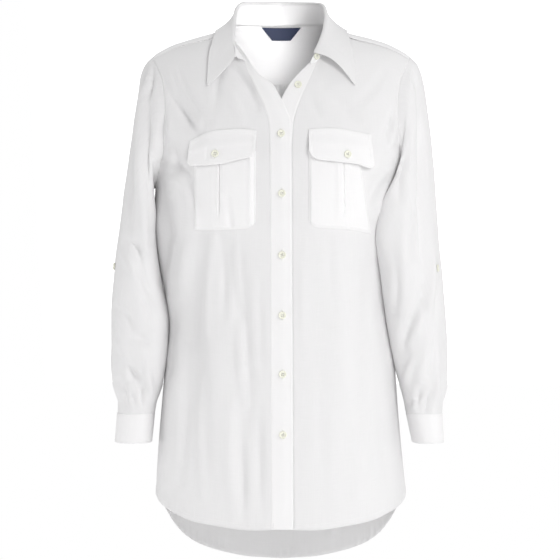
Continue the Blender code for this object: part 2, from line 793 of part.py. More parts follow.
def back_surface():
    """Points and normals of the back's inner face, rows from hem to yoke, columns from right to left."""
    halves = []
    _, _, down = armhole_angles()
    for side in (RIGHT, LEFT):
        top = yoke_seam(side)
        shares = np.linspace(0, 1, len(top))
        lower = [hung_row(row, 0.0, side, "back", shares, BACK_HEMLINE) for row in range(HEM_ROWS + 1)]
        lower = np.array(lower)
        arm = armhole(down[::-1], side)
        middle_z = np.linspace(ARMPIT, top[0, 2], ARM_BACK_ROWS + 1)
        middle = np.stack([np.zeros_like(middle_z), form_depth(0 * middle_z, middle_z, "back"), middle_z], -1)
        upper = coons(lower[-1], top, middle, arm, shares)
        inside = upper[1:-1, 1:-1]
        inside[..., 1] = form_depth(inside[..., 0], inside[..., 2], "back")
        halves.append(np.concatenate([lower, upper[1:]]))
    points = np.concatenate([halves[0][:, ::-1], halves[1][:, 1:]], axis=1)
    return hang_folds(gathered(points), "back")


def gathered(points):
    """The back with its gathers below the middle of the yoke, one for each two columns."""
    columns = points.shape[1]
    middle = columns // 2
    numbers = np.arange(columns) - middle
    wave = np.where(np.abs(numbers) < YOKE_NECK_COLUMNS, np.cos(math.pi * numbers), 0.0)
    below = points[-1, :, 2][None] - points[..., 2]
    strength = smooth_step(below / 14.0) * (1 - smooth_step(below / GATHER_FADE))
    return points + form_normal(points) * (GATHER_DEPTH * strength * wave[None])[..., None]


def sleeve_ring(side, ring, angles):
    """One ring of a sleeve as an ellipse between its outer and inner ends."""
    read = SLEEVE[side].at
    outer = np.array([side * read("outer_x", ring), read("outer_z", ring)])
    inner = np.array([side * read("inner_x", ring), read("inner_z", ring)])
    middle, half = (outer + inner) / 2, (outer - inner) / 2
    turn = np.radians(angles)
    power = 2 / (2 + (SLEEVE_SQUARE - 2) * smooth_step(ring / 5))
    out = np.sign(np.cos(turn)) * np.abs(np.cos(turn)) ** power
    ahead = np.sign(np.sin(turn)) * np.abs(np.sin(turn)) ** power
    lean = side * read("lean", ring) * np.clip(ahead, 0, None)
    x = middle[0] + half[0] * out - lean
    z = middle[1] + half[1] * out
    y = read("middle", ring) - read("half_depth", ring) * ahead
    return np.stack([x, y, z], -1)


def clear_of_body(points, clearance):
    """Points pushed out from the form until they are clear of it."""
    x, y, z = np.moveaxis(points, -1, 0)
    size = reach(x, y, z)
    flat = np.hypot(x, y)
    spare = flat * (1 - 1 / size)
    push = np.clip(clearance - spare, 0, None)
    scale = 1 + push / flat
    return np.stack([x * scale, y * scale, z], -1)


def sleeve_surface(side):
    """Points and normals of a sleeve's inner face, rows from the armhole to the cuff."""
    angles = armhole_loop()
    loop = armhole(angles, side)
    start = sleeve_ring(side, 0, angles)
    rings = []
    for ring in range(SLEEVE_ROWS + 1):
        blend = 1 - smooth_step(ring / 5)
        points = sleeve_ring(side, ring, angles) + (loop - start) * blend
        beside = BODY_CLEARANCE[side] * smooth_step(ring / 4)
        rings.append(clear_of_body(points, beside) if ring else points)
    points = np.array(rings)
    number = np.arange(SLEEVE_ROWS + 1)[:, None] * np.ones((1, len(angles)))
    hold = smooth_step(number / 2.5) * smooth_step((SLEEVE_ROWS - number) / 2)
    normals = away_from_middle(points, grid_normals(points, ring=True))
    points = folded("sleeve_right" if side == RIGHT else "sleeve_left", points, normals, hold)
    points[3:] = clear_of_body(points[3:], BODY_CLEARANCE[side])
    return points, away_from_middle(points, grid_normals(points, ring=True))


def away_from_middle(points, normals):
    """Normals turned away from the middle of a tube."""
    out = points - points.mean(axis=1, keepdims=True)
    return normals if (out * normals).sum(-1).mean() > 0 else -normals


def armhole_mitre(side, sleeve_normals):
    """Wall directions shared by the sleeve's first ring and the panels round it, as {angle: direction}."""
    angles = armhole_loop()
    body = form_normal(armhole(angles, side))
    shared = unit(body + sleeve_normals[0])
    stretch = 1 / np.clip((shared * body).sum(-1), 0.6, 1)
    return {round(float(angle), 4): shared[k] * stretch[k] for k, angle in enumerate(angles)}


def mitred(normals, rows, column, angles, mitre):
    """Normals with one column's stretch replaced by the armhole's shared directions."""
    for row, angle in zip(rows, angles):
        key = round(float(angle), 4)
        normals[row, column] = mitre.get(key, mitre.get(round(float(angle + 360), 4)))
    return normals


# ----------------------------------------------------------------------------------------- laid-on pieces


class Panel:
    """A panel's inner face as a surface that other pieces lie on, read by x and z seen from the front."""

    def __init__(self, points, normals):
        self.points, self.normals = points, normals

    def at(self, x, z, lift):
        """The point over (x, z), moved out by lift, and the normal there."""
        grid = self.points
        rows, columns = grid.shape[:2]
        best = None
        for row in range(rows - 1):
            for column in range(columns - 1):
                corners = grid[row : row + 2, column : column + 2]
                flat = corners[..., [0, 2]]
                low, high = flat.min((0, 1)) - 1, flat.max((0, 1)) + 1
                if not (low[0] <= x <= high[0] and low[1] <= z <= high[1]):
                    continue
                u, v = unbend(flat, x, z)
                miss = max(0, -u, u - 1) + max(0, -v, v - 1)
                if best is None or miss < best[0]:
                    best = (miss, row, column, u, v)
        _, row, column, u, v = best
        u, v = min(max(u, 0), 1), min(max(v, 0), 1)
        weights = ((1 - u) * (1 - v), u * (1 - v), (1 - u) * v, u * v)
        cells = ((row, column), (row, column + 1), (row + 1, column), (row + 1, column + 1))
        point = sum(w * self.points[cell] for w, cell in zip(weights, cells))
        normal = unit(sum(w * self.normals[cell] for w, cell in zip(weights, cells)))
        return point + normal * lift, normal


def unbend(flat, x, z):
    """Where (x, z) lies in a four-cornered cell, as shares across and up."""
    u = v = 0.5
    for _ in range(12):
        lower = (1 - u) * flat[0, 0] + u * flat[0, 1]
        upper = (1 - u) * flat[1, 0] + u * flat[1, 1]
        here = (1 - v) * lower + v * upper
        across = (1 - v) * (flat[0, 1] - flat[0, 0]) + v * (flat[1, 1] - flat[1, 0])
        up = (1 - u) * (flat[1, 0] - flat[0, 0]) + u * (flat[1, 1] - flat[0, 1])
        miss = np.array([x, z]) - here
        size = across[0] * up[1] - across[1] * up[0]
        u += (miss[0] * up[1] - miss[1] * up[0]) / size
        v += (across[0] * miss[1] - across[1] * miss[0]) / size
    return u, v


def laid_patch(name, panel, outline, rows, lifts, thick, material):
    """A patch on a panel, inside the outline given.

    lifts is how far it lies above the panel at its top and at its bottom.
    """
    low = np.zeros((rows + 1, len(PATCH_COLUMNS), 3))
    high = np.zeros_like(low)
    for row in range(rows + 1):
        down = row / rows
        inner = outline["inner"][0] * (1 - down) + outline["inner"][1] * down
        outer = outline["outer"][0] * (1 - down) + outline["outer"][1] * down
        lift = lifts[0] + (lifts[1] - lifts[0]) * float(smooth_step((down - 0.3) / 0.4))
        for column, share in enumerate(PATCH_COLUMNS):
            x = inner + (outer - inner) * share
            top, bottom = (float(outline["edges"].at(edge, share)) for edge in ("top", "bottom"))
            point, normal = panel.at(x, top + (bottom - top) * down, lift)
            rise = 0.0
            if "pleat" in outline:
                beside = PLEAT_HALF_WIDTH + PLEAT_FALL - abs(x - outline["pleat"])
                rise = PLEAT_RISE * float(smooth_step(beside / PLEAT_FALL))
            low[row, column] = point
            high[row, column] = point + normal * (thick + rise)
    return add_wall(name, low, high, material)


def add_button(name, centre, normal, material, across=BUTTON_DIAMETER):
    """A round button with a raised rim, its back on the point given."""
    radius = across / 2
    profile = ((0.0, 0.0), (0.82, 0.0), (1.0, 0.35), (0.97, 0.85), (0.84, 1.0), (0.62, 0.72), (0.0, 0.66))
    sides = BUTTON_SIDES
    normal = unit(np.asarray(normal, float))
    helper = np.array([0.0, 0.0, 1.0]) if abs(normal[2]) < 0.9 else np.array([1.0, 0.0, 0.0])
    across_axis = unit(np.cross(helper, normal))
    up_axis = np.cross(normal, across_axis)
    points = [centre]
    for share, rise in profile[1:-1]:
        for side in range(sides):
            turn = 2 * math.pi * side / sides
            spoke = across_axis * math.cos(turn) + up_axis * math.sin(turn)
            points.append(centre + spoke * radius * share + normal * BUTTON_THICKNESS * rise)
    points.append(centre + normal * BUTTON_THICKNESS * profile[-1][1])
    last = len(points) - 1
    faces = []
    rings = len(profile) - 2
    for side in range(sides):
        after = (side + 1) % sides
        faces.append((0, 1 + after, 1 + side))
        faces.append((last, 1 + (rings - 1) * sides + side, 1 + (rings - 1) * sides + after))
        for ring in range(rings - 1):
            a, b = 1 + ring * sides + side, 1 + ring * sides + after
            faces.append((a, b, b + sides, a + sides))
    return add_mesh(name, points, faces, material)


# -------------------------------------------------------------------------------------------- whole garment


def add_fronts(mitres, materials):
    """Both fronts. Returns their surfaces for what is laid on them."""
    panels = {}
    front_angles, _, _ = armhole_angles()
    for side, name in ((RIGHT, "front_right"), (LEFT, "front_left")):
        points, normals = front_surface(side)
        arm_rows = range(HEM_ROWS, HEM_ROWS + ARM_FRONT_ROWS + 1)
        normals = mitred(normals, arm_rows, -1, front_angles, mitres[side])
        inner = trimmed(points, ends=(False, True, True, True))
        add_wall(name, inner, inner + normals * CLOTH, materials["linen"])
        panels[side] = Panel(points, normals)
    return panels


def band_surface(side):
    """Points and normals of a front band, on the form, columns from its free edge to its seam."""
    along = front_along(side)
    edge, seam = opening_line(side, "edge", along), opening_line(side, "seam", along)
    middle = (edge + seam) / 2
    middle[:, 1] = form_depth(middle[:, 0], middle[:, 2], "front")
    overlap = seam + unit(seam - middle) * BAND_OVER_SEAM[side]
    overlap[:, 1] = form_depth(overlap[:, 0], overlap[:, 2], "front")
    points = np.stack([edge, middle, overlap], axis=1)
    return points, form_normal(points)


def add_bands(materials):
    """The buttonhole band on top and the button band below it."""
    surfaces = {}
    for side, name, lift in ((RIGHT, "placket_right", BAND_LIFT), (LEFT, "placket_left", 0.0)):
        points, normals = band_surface(side)
        raised = points + normals * lift
        raised = trimmed(raised, ends=(False, True, False, False))
        add_wall(name, raised, raised + normals * BAND, materials["linen"])
        surfaces[side] = (points, normals, lift + BAND)
    return surfaces


def add_back(mitres, materials):
    """The back, gathered into the yoke."""
    points, normals = back_surface()
    _, _, down = armhole_angles()
    arm_rows = range(HEM_ROWS, HEM_ROWS + ARM_BACK_ROWS + 1)
    normals = mitred(normals, arm_rows, 0, down[::-1], mitres[RIGHT])
    normals = mitred(normals, arm_rows, -1, down[::-1], mitres[LEFT])
    inner = trimmed(points, ends=(False, True, True, True))
    add_wall("back", inner, inner + normals * CLOTH, materials["linen"])


def add_yoke(mitres, materials):
    """The yoke, one piece over both shoulders."""
    right, left = yoke_half(RIGHT), yoke_half(LEFT)
    points = np.concatenate([right[:, ::-1], left[:, 1:]], axis=1)
    normals = form_normal(points)
    _, over, _ = armhole_angles()
    arm_rows = range(SHOULDER_COLUMNS, SHOULDER_COLUMNS + ARM_TOP_ROWS + 1)
    normals = mitred(normals, arm_rows, 0, over, mitres[RIGHT])
    normals = mitred(normals, arm_rows, -1, over, mitres[LEFT])
    inner = trimmed(points)
    add_wall("yoke", inner, inner + normals * CLOTH, materials["linen"])


def add_sleeve(side, name, points, normals, mitre, materials):
    """One sleeve."""
    for column, angle in enumerate(armhole_loop()):
        normals[0, column] = mitre[round(float(angle), 4)]
    inner = trimmed(points, ring=True)
    add_wall(name, inner, inner + normals * CLOTH, materials["linen"], ring=True)


def add_cuff(side, name, materials):
    """A cuff that laps over itself behind the wrist, and its button."""
    columns = CUFF_COLUMNS
    ring_top = sleeve_ring(side, 19, np.linspace(0, 360, 145))
    length = float(np.linalg.norm(np.diff(ring_top, axis=0), axis=1).sum())
    lap = 360 * CUFF_LAP / length
    angles = np.linspace(CUFF_START, CUFF_START - 360 - lap, columns + 1)
    rows = []
    for ring in (19.0, 19.5, 20.0):
        points = sleeve_ring(side, ring, angles)
        middle = sleeve_ring(side, ring, np.linspace(0, 360, 73)[:-1]).mean(axis=0)
        out = unit((points - middle) * np.array([1, 1, 0]))
        ramp = smooth_step((np.arange(columns + 1) - (columns - 5)) / 4.0)
        rows.append(points + out * (ramp * CUFF_LAP_LIFT)[:, None])
    points = np.array(rows)
    normals = grid_normals(points)
    normals = away_from_middle(points, normals)
    add_wall(name, points, points + normals * BAND, materials["linen"])
    seat, facing = points[1, -2], normals[1, -2]
    add_button(name.replace("cuff", "button_cuff"), seat + facing * (BAND + GAP), facing, materials["button"])


def neck_angles():
    """Angles of the neckline's points on one side, from the front band's seam to the middle of the back."""
    front = np.linspace(BAND_END, SHOULDER_NECK, NECK_COLUMNS + 1)
    rest = np.linspace(SHOULDER_NECK, 180, YOKE_NECK_COLUMNS + 1)
    return np.concatenate([front, rest[1:]])


def collar_line(side, angles):
    """Neck points, fold points, and the outward and upward directions of the stand between them."""
    word = "right" if side == RIGHT else "left"
    neck = neck_points(angles, side)
    over_band = smooth_step((BAND_END + 6.0 - angles) / 6.0) if side == RIGHT else 0 * angles
    lifted = neck + form_normal(neck) * (STAND_LIFT + BAND_LIFT * over_band)[:, None]
    fold = np.stack([COLLAR.at(f"{word}_{axis}", angles) for axis in "xyz"], -1)
    up = unit(fold - lifted)
    out = unit(lifted * np.array([1, 1, 0]))
    out = unit(out - up * (out * up).sum(-1, keepdims=True))
    return lifted, fold, out, up


def joined_round(side_lines):
    """A line of the right side, from the front end to the back, and the left one from back to front."""
    right, left = side_lines
    return np.concatenate([right, left[::-1][1:]])


def add_collar(materials):
    """The collar stand and the leaf that folds over it."""
    parts = {"stand_low": [], "stand_top": [], "out": []}
    for side in (RIGHT, LEFT):
        ends = np.array([NECK_END[side], (NECK_END[side] + BAND_END) / 2])
        angles = np.concatenate([ends, neck_angles()])
        low, fold, out, up = collar_line(side, angles)
        height = np.linalg.norm(fold - low, axis=1) - STAND_BELOW_FOLD
        height[0] *= STAND_END_SHARE
        parts["stand_low"].append(low)
        parts["stand_top"].append(low + up * height[:, None])
        parts["out"].append(out)
    low, top, out = (joined_round(parts[key]) for key in ("stand_low", "stand_top", "out"))
    inner = np.array([low, (low + top) / 2, top])
    normals = grid_normals(inner)
    normals *= np.sign((normals * out).sum(-1).mean())
    add_wall("collar_stand", inner, inner + normals * BAND, materials["linen"])

    rows_by_side = []
    for side in (RIGHT, LEFT):
        angles = np.concatenate([[LEAF_START[side]], neck_angles()])
        low, fold, out, up = collar_line(side, angles)
        top = fold - up * STAND_BELOW_FOLD + out * BAND
        leaf = form_round(COLLAR.at("leaf_angle", angles), COLLAR.at("leaf_z", angles), side)
        leaf = leaf + form_normal(leaf) * COLLAR.at("clear", angles)[:, None]
        rows = [top + out * (share_out - BAND) + up * share_up for share_out, share_up in LEAF_ROLL]
        start = rows[-1]
        for share in LEAF_SHARES:
            bulge = COLLAR.at("bulge", angles) * math.sin(math.pi * share**0.7)
            row = start + (leaf - start) * share + unit(out + up * 0.6) * bulge[:, None]
            row[0, 2] += LEAF_FRONT_BOW[side] * math.sin(math.pi * share)
            rows.append(row)
        rows_by_side.append(np.array(rows))
    points = np.concatenate([rows_by_side[0], rows_by_side[1][:, ::-1][:, 1:]], axis=1)
    normals = grid_normals(points)
    middle = points[3].mean(axis=0)
    if ((points[3] - middle) * normals[3]).sum() < 0:
        normals = -normals
    add_wall("collar_leaf", points, points + normals * BAND, materials["linen"])


def add_label(materials):
    """The blank neck label, which hangs inside the back of the yoke."""
    columns, rows = 6, 2
    grid = np.zeros((rows + 1, columns + 1, 3))
    for row in range(rows + 1):
        share = row / rows
        width = LABEL_TOP_WIDTH + (LABEL_BOTTOM_WIDTH - LABEL_TOP_WIDTH) * share
        z = LABEL_TOP - (LABEL_HEIGHT - 1) * share
        x = np.linspace(-width / 2, width / 2, columns + 1)
        y = form_depth(x, np.full_like(x, z), "back")
        grid[row] = np.stack([x, y, np.full_like(x, z)], -1)
    normals = form_normal(grid)
    outer = grid - normals * LABEL_CLEAR
    add_wall("neck_label", outer - normals * LABEL_WALL, outer, materials["label"])


def add_pockets(panels, materials):
    """Patch pockets with a centre pleat, their flaps and the flap buttons."""
    for side, word in ((RIGHT, "right"), (LEFT, "left")):
        pocket, flap = POCKETS[side], FLAPS[side]
        lifts = (CLOTH + POCKET_LIFT, CLOTH + POCKET_LIFT)
        laid_patch(f"pocket_{word}", panels[side], pocket, 6, lifts, CLOTH, materials["linen"])
        lifts = (CLOTH + FLAP_TOP_LIFT, CLOTH + FLAP_LIFT)
        laid_patch(f"pocket_flap_{word}", panels[side], flap, 5, lifts, BAND, materials["linen"])
        x, z = FLAP_BUTTONS[side]
        seat, normal = panels[side].at(x, z, CLOTH + FLAP_LIFT + BAND + GAP)
        add_button(f"button_flap_{word}", seat, normal, materials["button"])


def add_front_buttons(bands, materials):
    """The fastened buttons, the open one above them and the one on the collar stand."""
    _, _, top_lift = bands[RIGHT]
    for number, height in enumerate(BUTTON_HEIGHTS, start=1):
        along = along_at_height(RIGHT, height)
        x = float(OPENING[RIGHT].at("edge_x", along) + OPENING[RIGHT].at("seam_x", along)) / 2
        seat = np.array([x, float(form_depth(np.array(x), height, "front")), height])
        normal = form_normal(seat[None])[0]
        add_button(f"button_front_{number}", seat + normal * (top_lift + GAP), normal, materials["button"])
    _, _, open_lift = bands[LEFT]
    x, z = OPEN_BUTTON
    seat = np.array([x, float(form_depth(np.array(x), z, "front")), z])
    normal = form_normal(seat[None])[0]
    add_button("button_open", seat + normal * (open_lift + GAP), normal, materials["button"])
    low, fold, out, up = (line[0] for line in collar_line(LEFT, np.array([COLLAR_BUTTON_ANGLE])))
    seat = low + (fold - low) * COLLAR_BUTTON_SHARE
    seat = seat + out * (BAND + GAP)
    add_button("button_collar", seat, out, materials["button"], across=COLLAR_BUTTON_DIAMETER)


def add_tab_buttons(sleeves, materials):
    """The buttons that hold the roll tabs, on the outside of each sleeve."""
    for side, word in ((RIGHT, "right"), (LEFT, "left")):
        angle, height = TAB_BUTTONS[side]
        points, normals = sleeves[side]
        angles = armhole_loop()
        column = int(np.argmax(angles < angle)) - 1
        across = (angles[column] - angle) / (angles[column] - angles[column + 1])
        line = points[:, column] * (1 - across) + points[:, column + 1] * across
        facing = normals[:, column] * (1 - across) + normals[:, column + 1] * across
        row = int(np.argmax(line[:, 2] < height)) - 1
        down = (line[row, 2] - height) / (line[row, 2] - line[row + 1, 2])
        seat = line[row] * (1 - down) + line[row + 1] * down
        normal = unit(facing[row] * (1 - down) + facing[row + 1] * down)
        add_button(f"button_tab_{word}", seat + normal * (CLOTH + TAB_BUTTON_LIFT), normal, materials["button"])


def main():
    for thing in list(bpy.data.objects):
        bpy.data.objects.remove(thing)
    materials = {
        "linen": finish("white linen", (0.86, 0.86, 0.86), 0.85),
        "button": finish("cream button", (0.82, 0.80, 0.66), 0.35),
        "label": finish("navy label", (0.03, 0.04, 0.09), 0.7),
    }
    sleeves = {side: sleeve_surface(side) for side in (RIGHT, LEFT)}
    mitres = {side: armhole_mitre(side, sleeves[side][1]) for side in (RIGHT, LEFT)}
    panels = add_fronts(mitres, materials)
    bands = add_bands(materials)
    add_back(mitres, materials)
    add_yoke(mitres, materials)
    for side, word in ((RIGHT, "right"), (LEFT, "left")):
        points, normals = sleeves[side]
        add_sleeve(side, f"sleeve_{word}", points, normals, mitres[side], materials)
        add_cuff(side, f"cuff_{word}", materials)
    add_collar(materials)
    add_label(materials)
    add_pockets(panels, materials)
    add_front_buttons(bands, materials)
    add_tab_buttons(sleeves, materials)


main()
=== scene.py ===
"""The looks of a long-sleeved white linen tunic shirt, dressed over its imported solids.

Tables, sizes and the arrays of points are in millimetres, and MM turns them into metres where a mesh is
made. The wearer's left is +X, the front faces -Y and +Z is up. The origin is the middle of the neck base.
"""

import logging
import math
from dataclasses import dataclass, field
from enum import Enum

import bpy
import numpy as np
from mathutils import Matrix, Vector
from mathutils.bvhtree import BVHTree


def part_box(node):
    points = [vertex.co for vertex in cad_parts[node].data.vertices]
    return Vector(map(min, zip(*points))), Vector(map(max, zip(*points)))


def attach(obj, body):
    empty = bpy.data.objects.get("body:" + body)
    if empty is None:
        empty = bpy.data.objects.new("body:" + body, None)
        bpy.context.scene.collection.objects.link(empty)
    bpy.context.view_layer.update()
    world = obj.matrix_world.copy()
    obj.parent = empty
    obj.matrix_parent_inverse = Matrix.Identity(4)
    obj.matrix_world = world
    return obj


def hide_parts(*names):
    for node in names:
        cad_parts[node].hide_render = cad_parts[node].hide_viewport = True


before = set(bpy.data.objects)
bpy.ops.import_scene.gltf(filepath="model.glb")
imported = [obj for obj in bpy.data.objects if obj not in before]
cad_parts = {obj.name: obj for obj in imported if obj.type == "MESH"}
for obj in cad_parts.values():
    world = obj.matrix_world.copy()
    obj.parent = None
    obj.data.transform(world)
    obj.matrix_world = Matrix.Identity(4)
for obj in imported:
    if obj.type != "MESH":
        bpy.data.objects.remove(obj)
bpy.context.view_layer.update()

Array = np.ndarray  # numbers, or points with x, y and z last

LOG = logging.getLogger("tunic")
MM = 0.001

# Walls and layers, millimetres
CLOTH = 1.4  # the solids' single wall, whose outer face the cloth keeps
THIN = 0.7  # how far inside that face the cloth's own inner face lies
BAND = 1.6  # a stiffened double layer
SEAM = 0.06  # half the gap left between two pieces that are sewn together

# Levels
ARMPIT = -240.0
SIDE_HEM = -699.0
FRONT_HEM = -739.0
BACK_HEM = -815.0

# How finely each stretch of a piece is divided
HEM_ROWS = 106
ARM_FRONT_ROWS = 44
ARM_TOP_ROWS = 25
ARM_BACK_ROWS = 45
NECK_COLUMNS = 20
SHOULDER_COLUMNS = 40
YOKE_NECK_COLUMNS = 40
SLEEVE_ROWS = 124


class Side(Enum):
    """The wearer's right or left."""

    RIGHT = -1
    LEFT = 1

    @property
    def word(self) -> str:
        """The side's name in lower case."""
        return self.name.lower()


class Face(Enum):
    """The front or the back half of the cloth."""

    FRONT = -1
    BACK = 1


class Table:
    """Rows of numbers under named columns, read at any value of the first column as a smooth curve."""

    def __init__(self, columns: str, *rows: tuple) -> None:
        """Keeps the rows.

        Args:
            columns: The columns' names, separated by spaces.
            rows: The rows' numbers.
        """
        ordered = np.array(sorted(rows), float)
        self.keys = ordered[:, 0]
        self.values = {name: ordered[:, k] for k, name in enumerate(columns.split())}

    def at(self, name: str, key: Array | float) -> Array:
        """Reads one column by a cubic that never overshoots its rows.

        Args:
            name: The column's name.
            key: Values of the first column.

        Returns:
            The column at each key.
        """
        x, y = self.keys, self.values[name]
        width = np.diff(x)
        slope = np.diff(y) / width
        total = slope[1:] + slope[:-1]
        safe = np.where(total == 0, 1, total)
        inner = np.where(slope[1:] * slope[:-1] > 0, 2 * slope[1:] * slope[:-1] / safe, 0.0)
        tangent = np.concatenate([[slope[0]], inner, [slope[-1]]])
        key = np.clip(np.asarray(key, float), x[0], x[-1])
        k = np.clip(np.searchsorted(x, key) - 1, 0, len(x) - 2)
        t = (key - x[k]) / width[k]
        return (
            (1 + 2 * t) * (1 - t) ** 2 * y[k]
            + t * (1 - t) ** 2 * width[k] * tangent[k]
            + t * t * (3 - 2 * t) * y[k + 1]
            + t * t * (t - 1) * width[k] * tangent[k + 1]
        )


# ---- tables of the cut

# Horizontal sections of the form the cloth lies on.
SECTIONS = Table(
    "height right left front back square",
    (12, 58, 58, 46, 72, 2.0),
    (0, 70, 70, 52, 76, 1.9),
    (-5, 85, 85, 54, 78, 1.75),
    (-11, 101, 101, 57, 80, 1.7),
    (-21, 138, 138, 61, 84, 1.75),
    (-32, 168, 168, 66, 89, 1.9),
    (-46, 191, 191, 74, 95, 2.1),
    (-62, 204, 204, 83, 101, 2.15),
    (-80, 209, 209, 92, 108, 2.2),
    (-100, 210, 210, 101, 113, 2.3),
    (-130, 207, 207, 112, 119, 2.4),
    (-160, 201, 201, 120, 123, 2.5),
    (-200, 190, 189, 127, 127, 2.55),
    (ARMPIT, 187, 175, 130, 128, 2.55),
    (-285, 189, 167, 130, 126, 2.5),
    (-330, 185.5, 161, 129, 124, 2.4),
    (-365, 180, 157, 129, 123, 2.35),
    (-400, 173, 157, 129, 123, 2.35),
    (-450, 167, 161, 130, 124, 2.35),
    (-503, 172, 168, 131, 127, 2.4),
    (-583, 179, 174, 134, 132, 2.35),
    (-650, 184, 180, 136, 137, 2.3),
    (-700, 186, 185, 138, 141, 2.3),
    (-830, 190, 189, 141, 148, 2.3),
)

# Neckline: height of the seam against the angle from the front middle, round to the back middle.
NECKLINE = Table(
    "angle height",
    (26, -66),
    (32, -61),
    (45, -40),
    (58, -22),
    (68, -11),
    (80, -4),
    (90, -1),
    (105, 2),
    (120, 4),
    (150, 7),
    (180, 8),
)
NECK_END = {Side.RIGHT: 32.0, Side.LEFT: 26.5}
BAND_END = 45.0
BAND_OVER_SEAM = {Side.RIGHT: 3.0, Side.LEFT: -0.06}
SHOULDER_NECK = 68.0
SHOULDER_DROP = Table("across drop", (60, 9.5), (107, 11.5), (140, 9.5), (167, 8), (190, 7))

ARMHOLE_TOP = -46.0
ARMHOLE_DEPTH = {Face.FRONT: 76.0, Face.BACK: 80.0}
ARMHOLE_EGG = 0.12
FRONT_SEAM_ANGLE = 21.0
BACK_SEAM_ANGLE = -53.0

YOKE_SEAM = Table("across height", (0, -78), (90, -80), (150, -83), (190, -85))
YOKE_NECK_WIDTH = 70.0

FRONT_HEMLINE = Table(
    "share height",
    (0, FRONT_HEM),
    (0.25, -740),
    (0.5, -735),
    (0.7, -729),
    (0.85, -719),
    (0.95, -709),
    (1.0, SIDE_HEM),
)
BACK_HEMLINE = Table(
    "share height",
    (0, BACK_HEM),
    (0.25, -812),
    (0.45, -804),
    (0.64, -791),
    (0.77, -775),
    (0.86, -755),
    (0.93, -731),
    (1.0, SIDE_HEM),
)

# Front edges against the run from the hem, 0, to the neckline, 1.
OPENING = {
    Side.RIGHT: Table(
        "along edge_x edge_z seam_x seam_z",
        (0.00, 16.8, -739, -11.2, -739),
        (0.50, 15.2, -420, -12.8, -420),
        (0.78, 14.2, -200, -13.8, -200),
        (0.84, 13.0, -152, -15.2, -155),
        (0.88, 7.0, -134, -20.5, -134),
        (0.91, -1.0, -117, -28.5, -114),
        (0.94, -13.0, -96, -38.0, -93),
        (0.97, -30.0, -84, -49.0, -70),
        (1.00, -46.0, -62, -59.0, -41),
    ),
    Side.LEFT: Table(
        "along edge_x edge_z seam_x seam_z",
        (0.00, -10.2, -739, 16.8, -739),
        (0.50, -11.8, -420, 15.2, -420),
        (0.78, -12.8, -200, 14.2, -200),
        (0.84, -11.0, -150, 16.4, -155),
        (0.88, -4.5, -132, 21.5, -134),
        (0.91, 1.5, -114, 28.5, -114),
        (0.94, 11.0, -97, 37.5, -94),
        (0.97, 24.5, -80, 48.0, -70),
        (1.00, 38.0, -66, 60.0, -41),
    ),
}

# Collar against the angle round the neck: the fold at the top of the stand, and the leaf's free edge.
COLLAR = Table(
    "angle right_x right_y right_z left_x left_y left_z leaf_angle leaf_z clear bulge",
    (26, -68, -88, -58, 42, -86, -57, 48.5, -101, 5.0, 1),
    (34, -69, -85, -51, 48, -82, -46, 50, -96, 5.0, 1),
    (45, -69.5, -71, -31, 56, -69, -28, 55.5, -62, 5.0, 0),
    (58, -68, -51, -11, 62, -49, -8, 62.5, -33, 4.5, -2),
    (70, -67, -28, 9, 64, -27, 10, 73, -16, 3.2, -3.5),
    (85, -65, -7, 24, 63, -7, 24, 88, -10, 2.6, -5),
    (100, -61, 12, 34, 61, 12, 33, 103, -9, 2.6, -5),
    (120, -56, 36, 40, 56, 36, 39, 122, -9, 2.6, -2.5),
    (150, -36, 61, 43, 36, 61, 43, 150, -8, 2.6, 0),
    (180, 0, 70, 44, 0, 70, 44, 180, -8, 2.6, 2),
)
LEAF_CLOSER = {Side.RIGHT: 0.25, Side.LEFT: 0.4}  # how much nearer to the front the leaf's points lie
LEAF_CLOSER_ANGLE = 60.0  # and from which angle on
STAND_END_SHARE = 0.72
STAND_HOLE = (-61.0, -51.0)  # x and z of the buttonhole at the stand's right end
STAND_BELOW_FOLD = 2.0
STAND_LIFT = 2.4
STAND_STEP = 6.0  # the angle in which it steps up onto the upper band
BAND_LIFT = 2.3
BAND_SINK = {Side.RIGHT: 2.1, Side.LEFT: 0.15}  # how far a band's seam side sinks below its free edge
LEAF_START = {Side.RIGHT: 32.0, Side.LEFT: 33.0}
LEAF_FRONT_BOW = {Side.RIGHT: -3.0, Side.LEFT: 10.0}
LEAF_ROLL = Table("turn out up", (0, 0.7, 0.5), (1, 1.9, 2.1), (2, 3.6, 0.6))

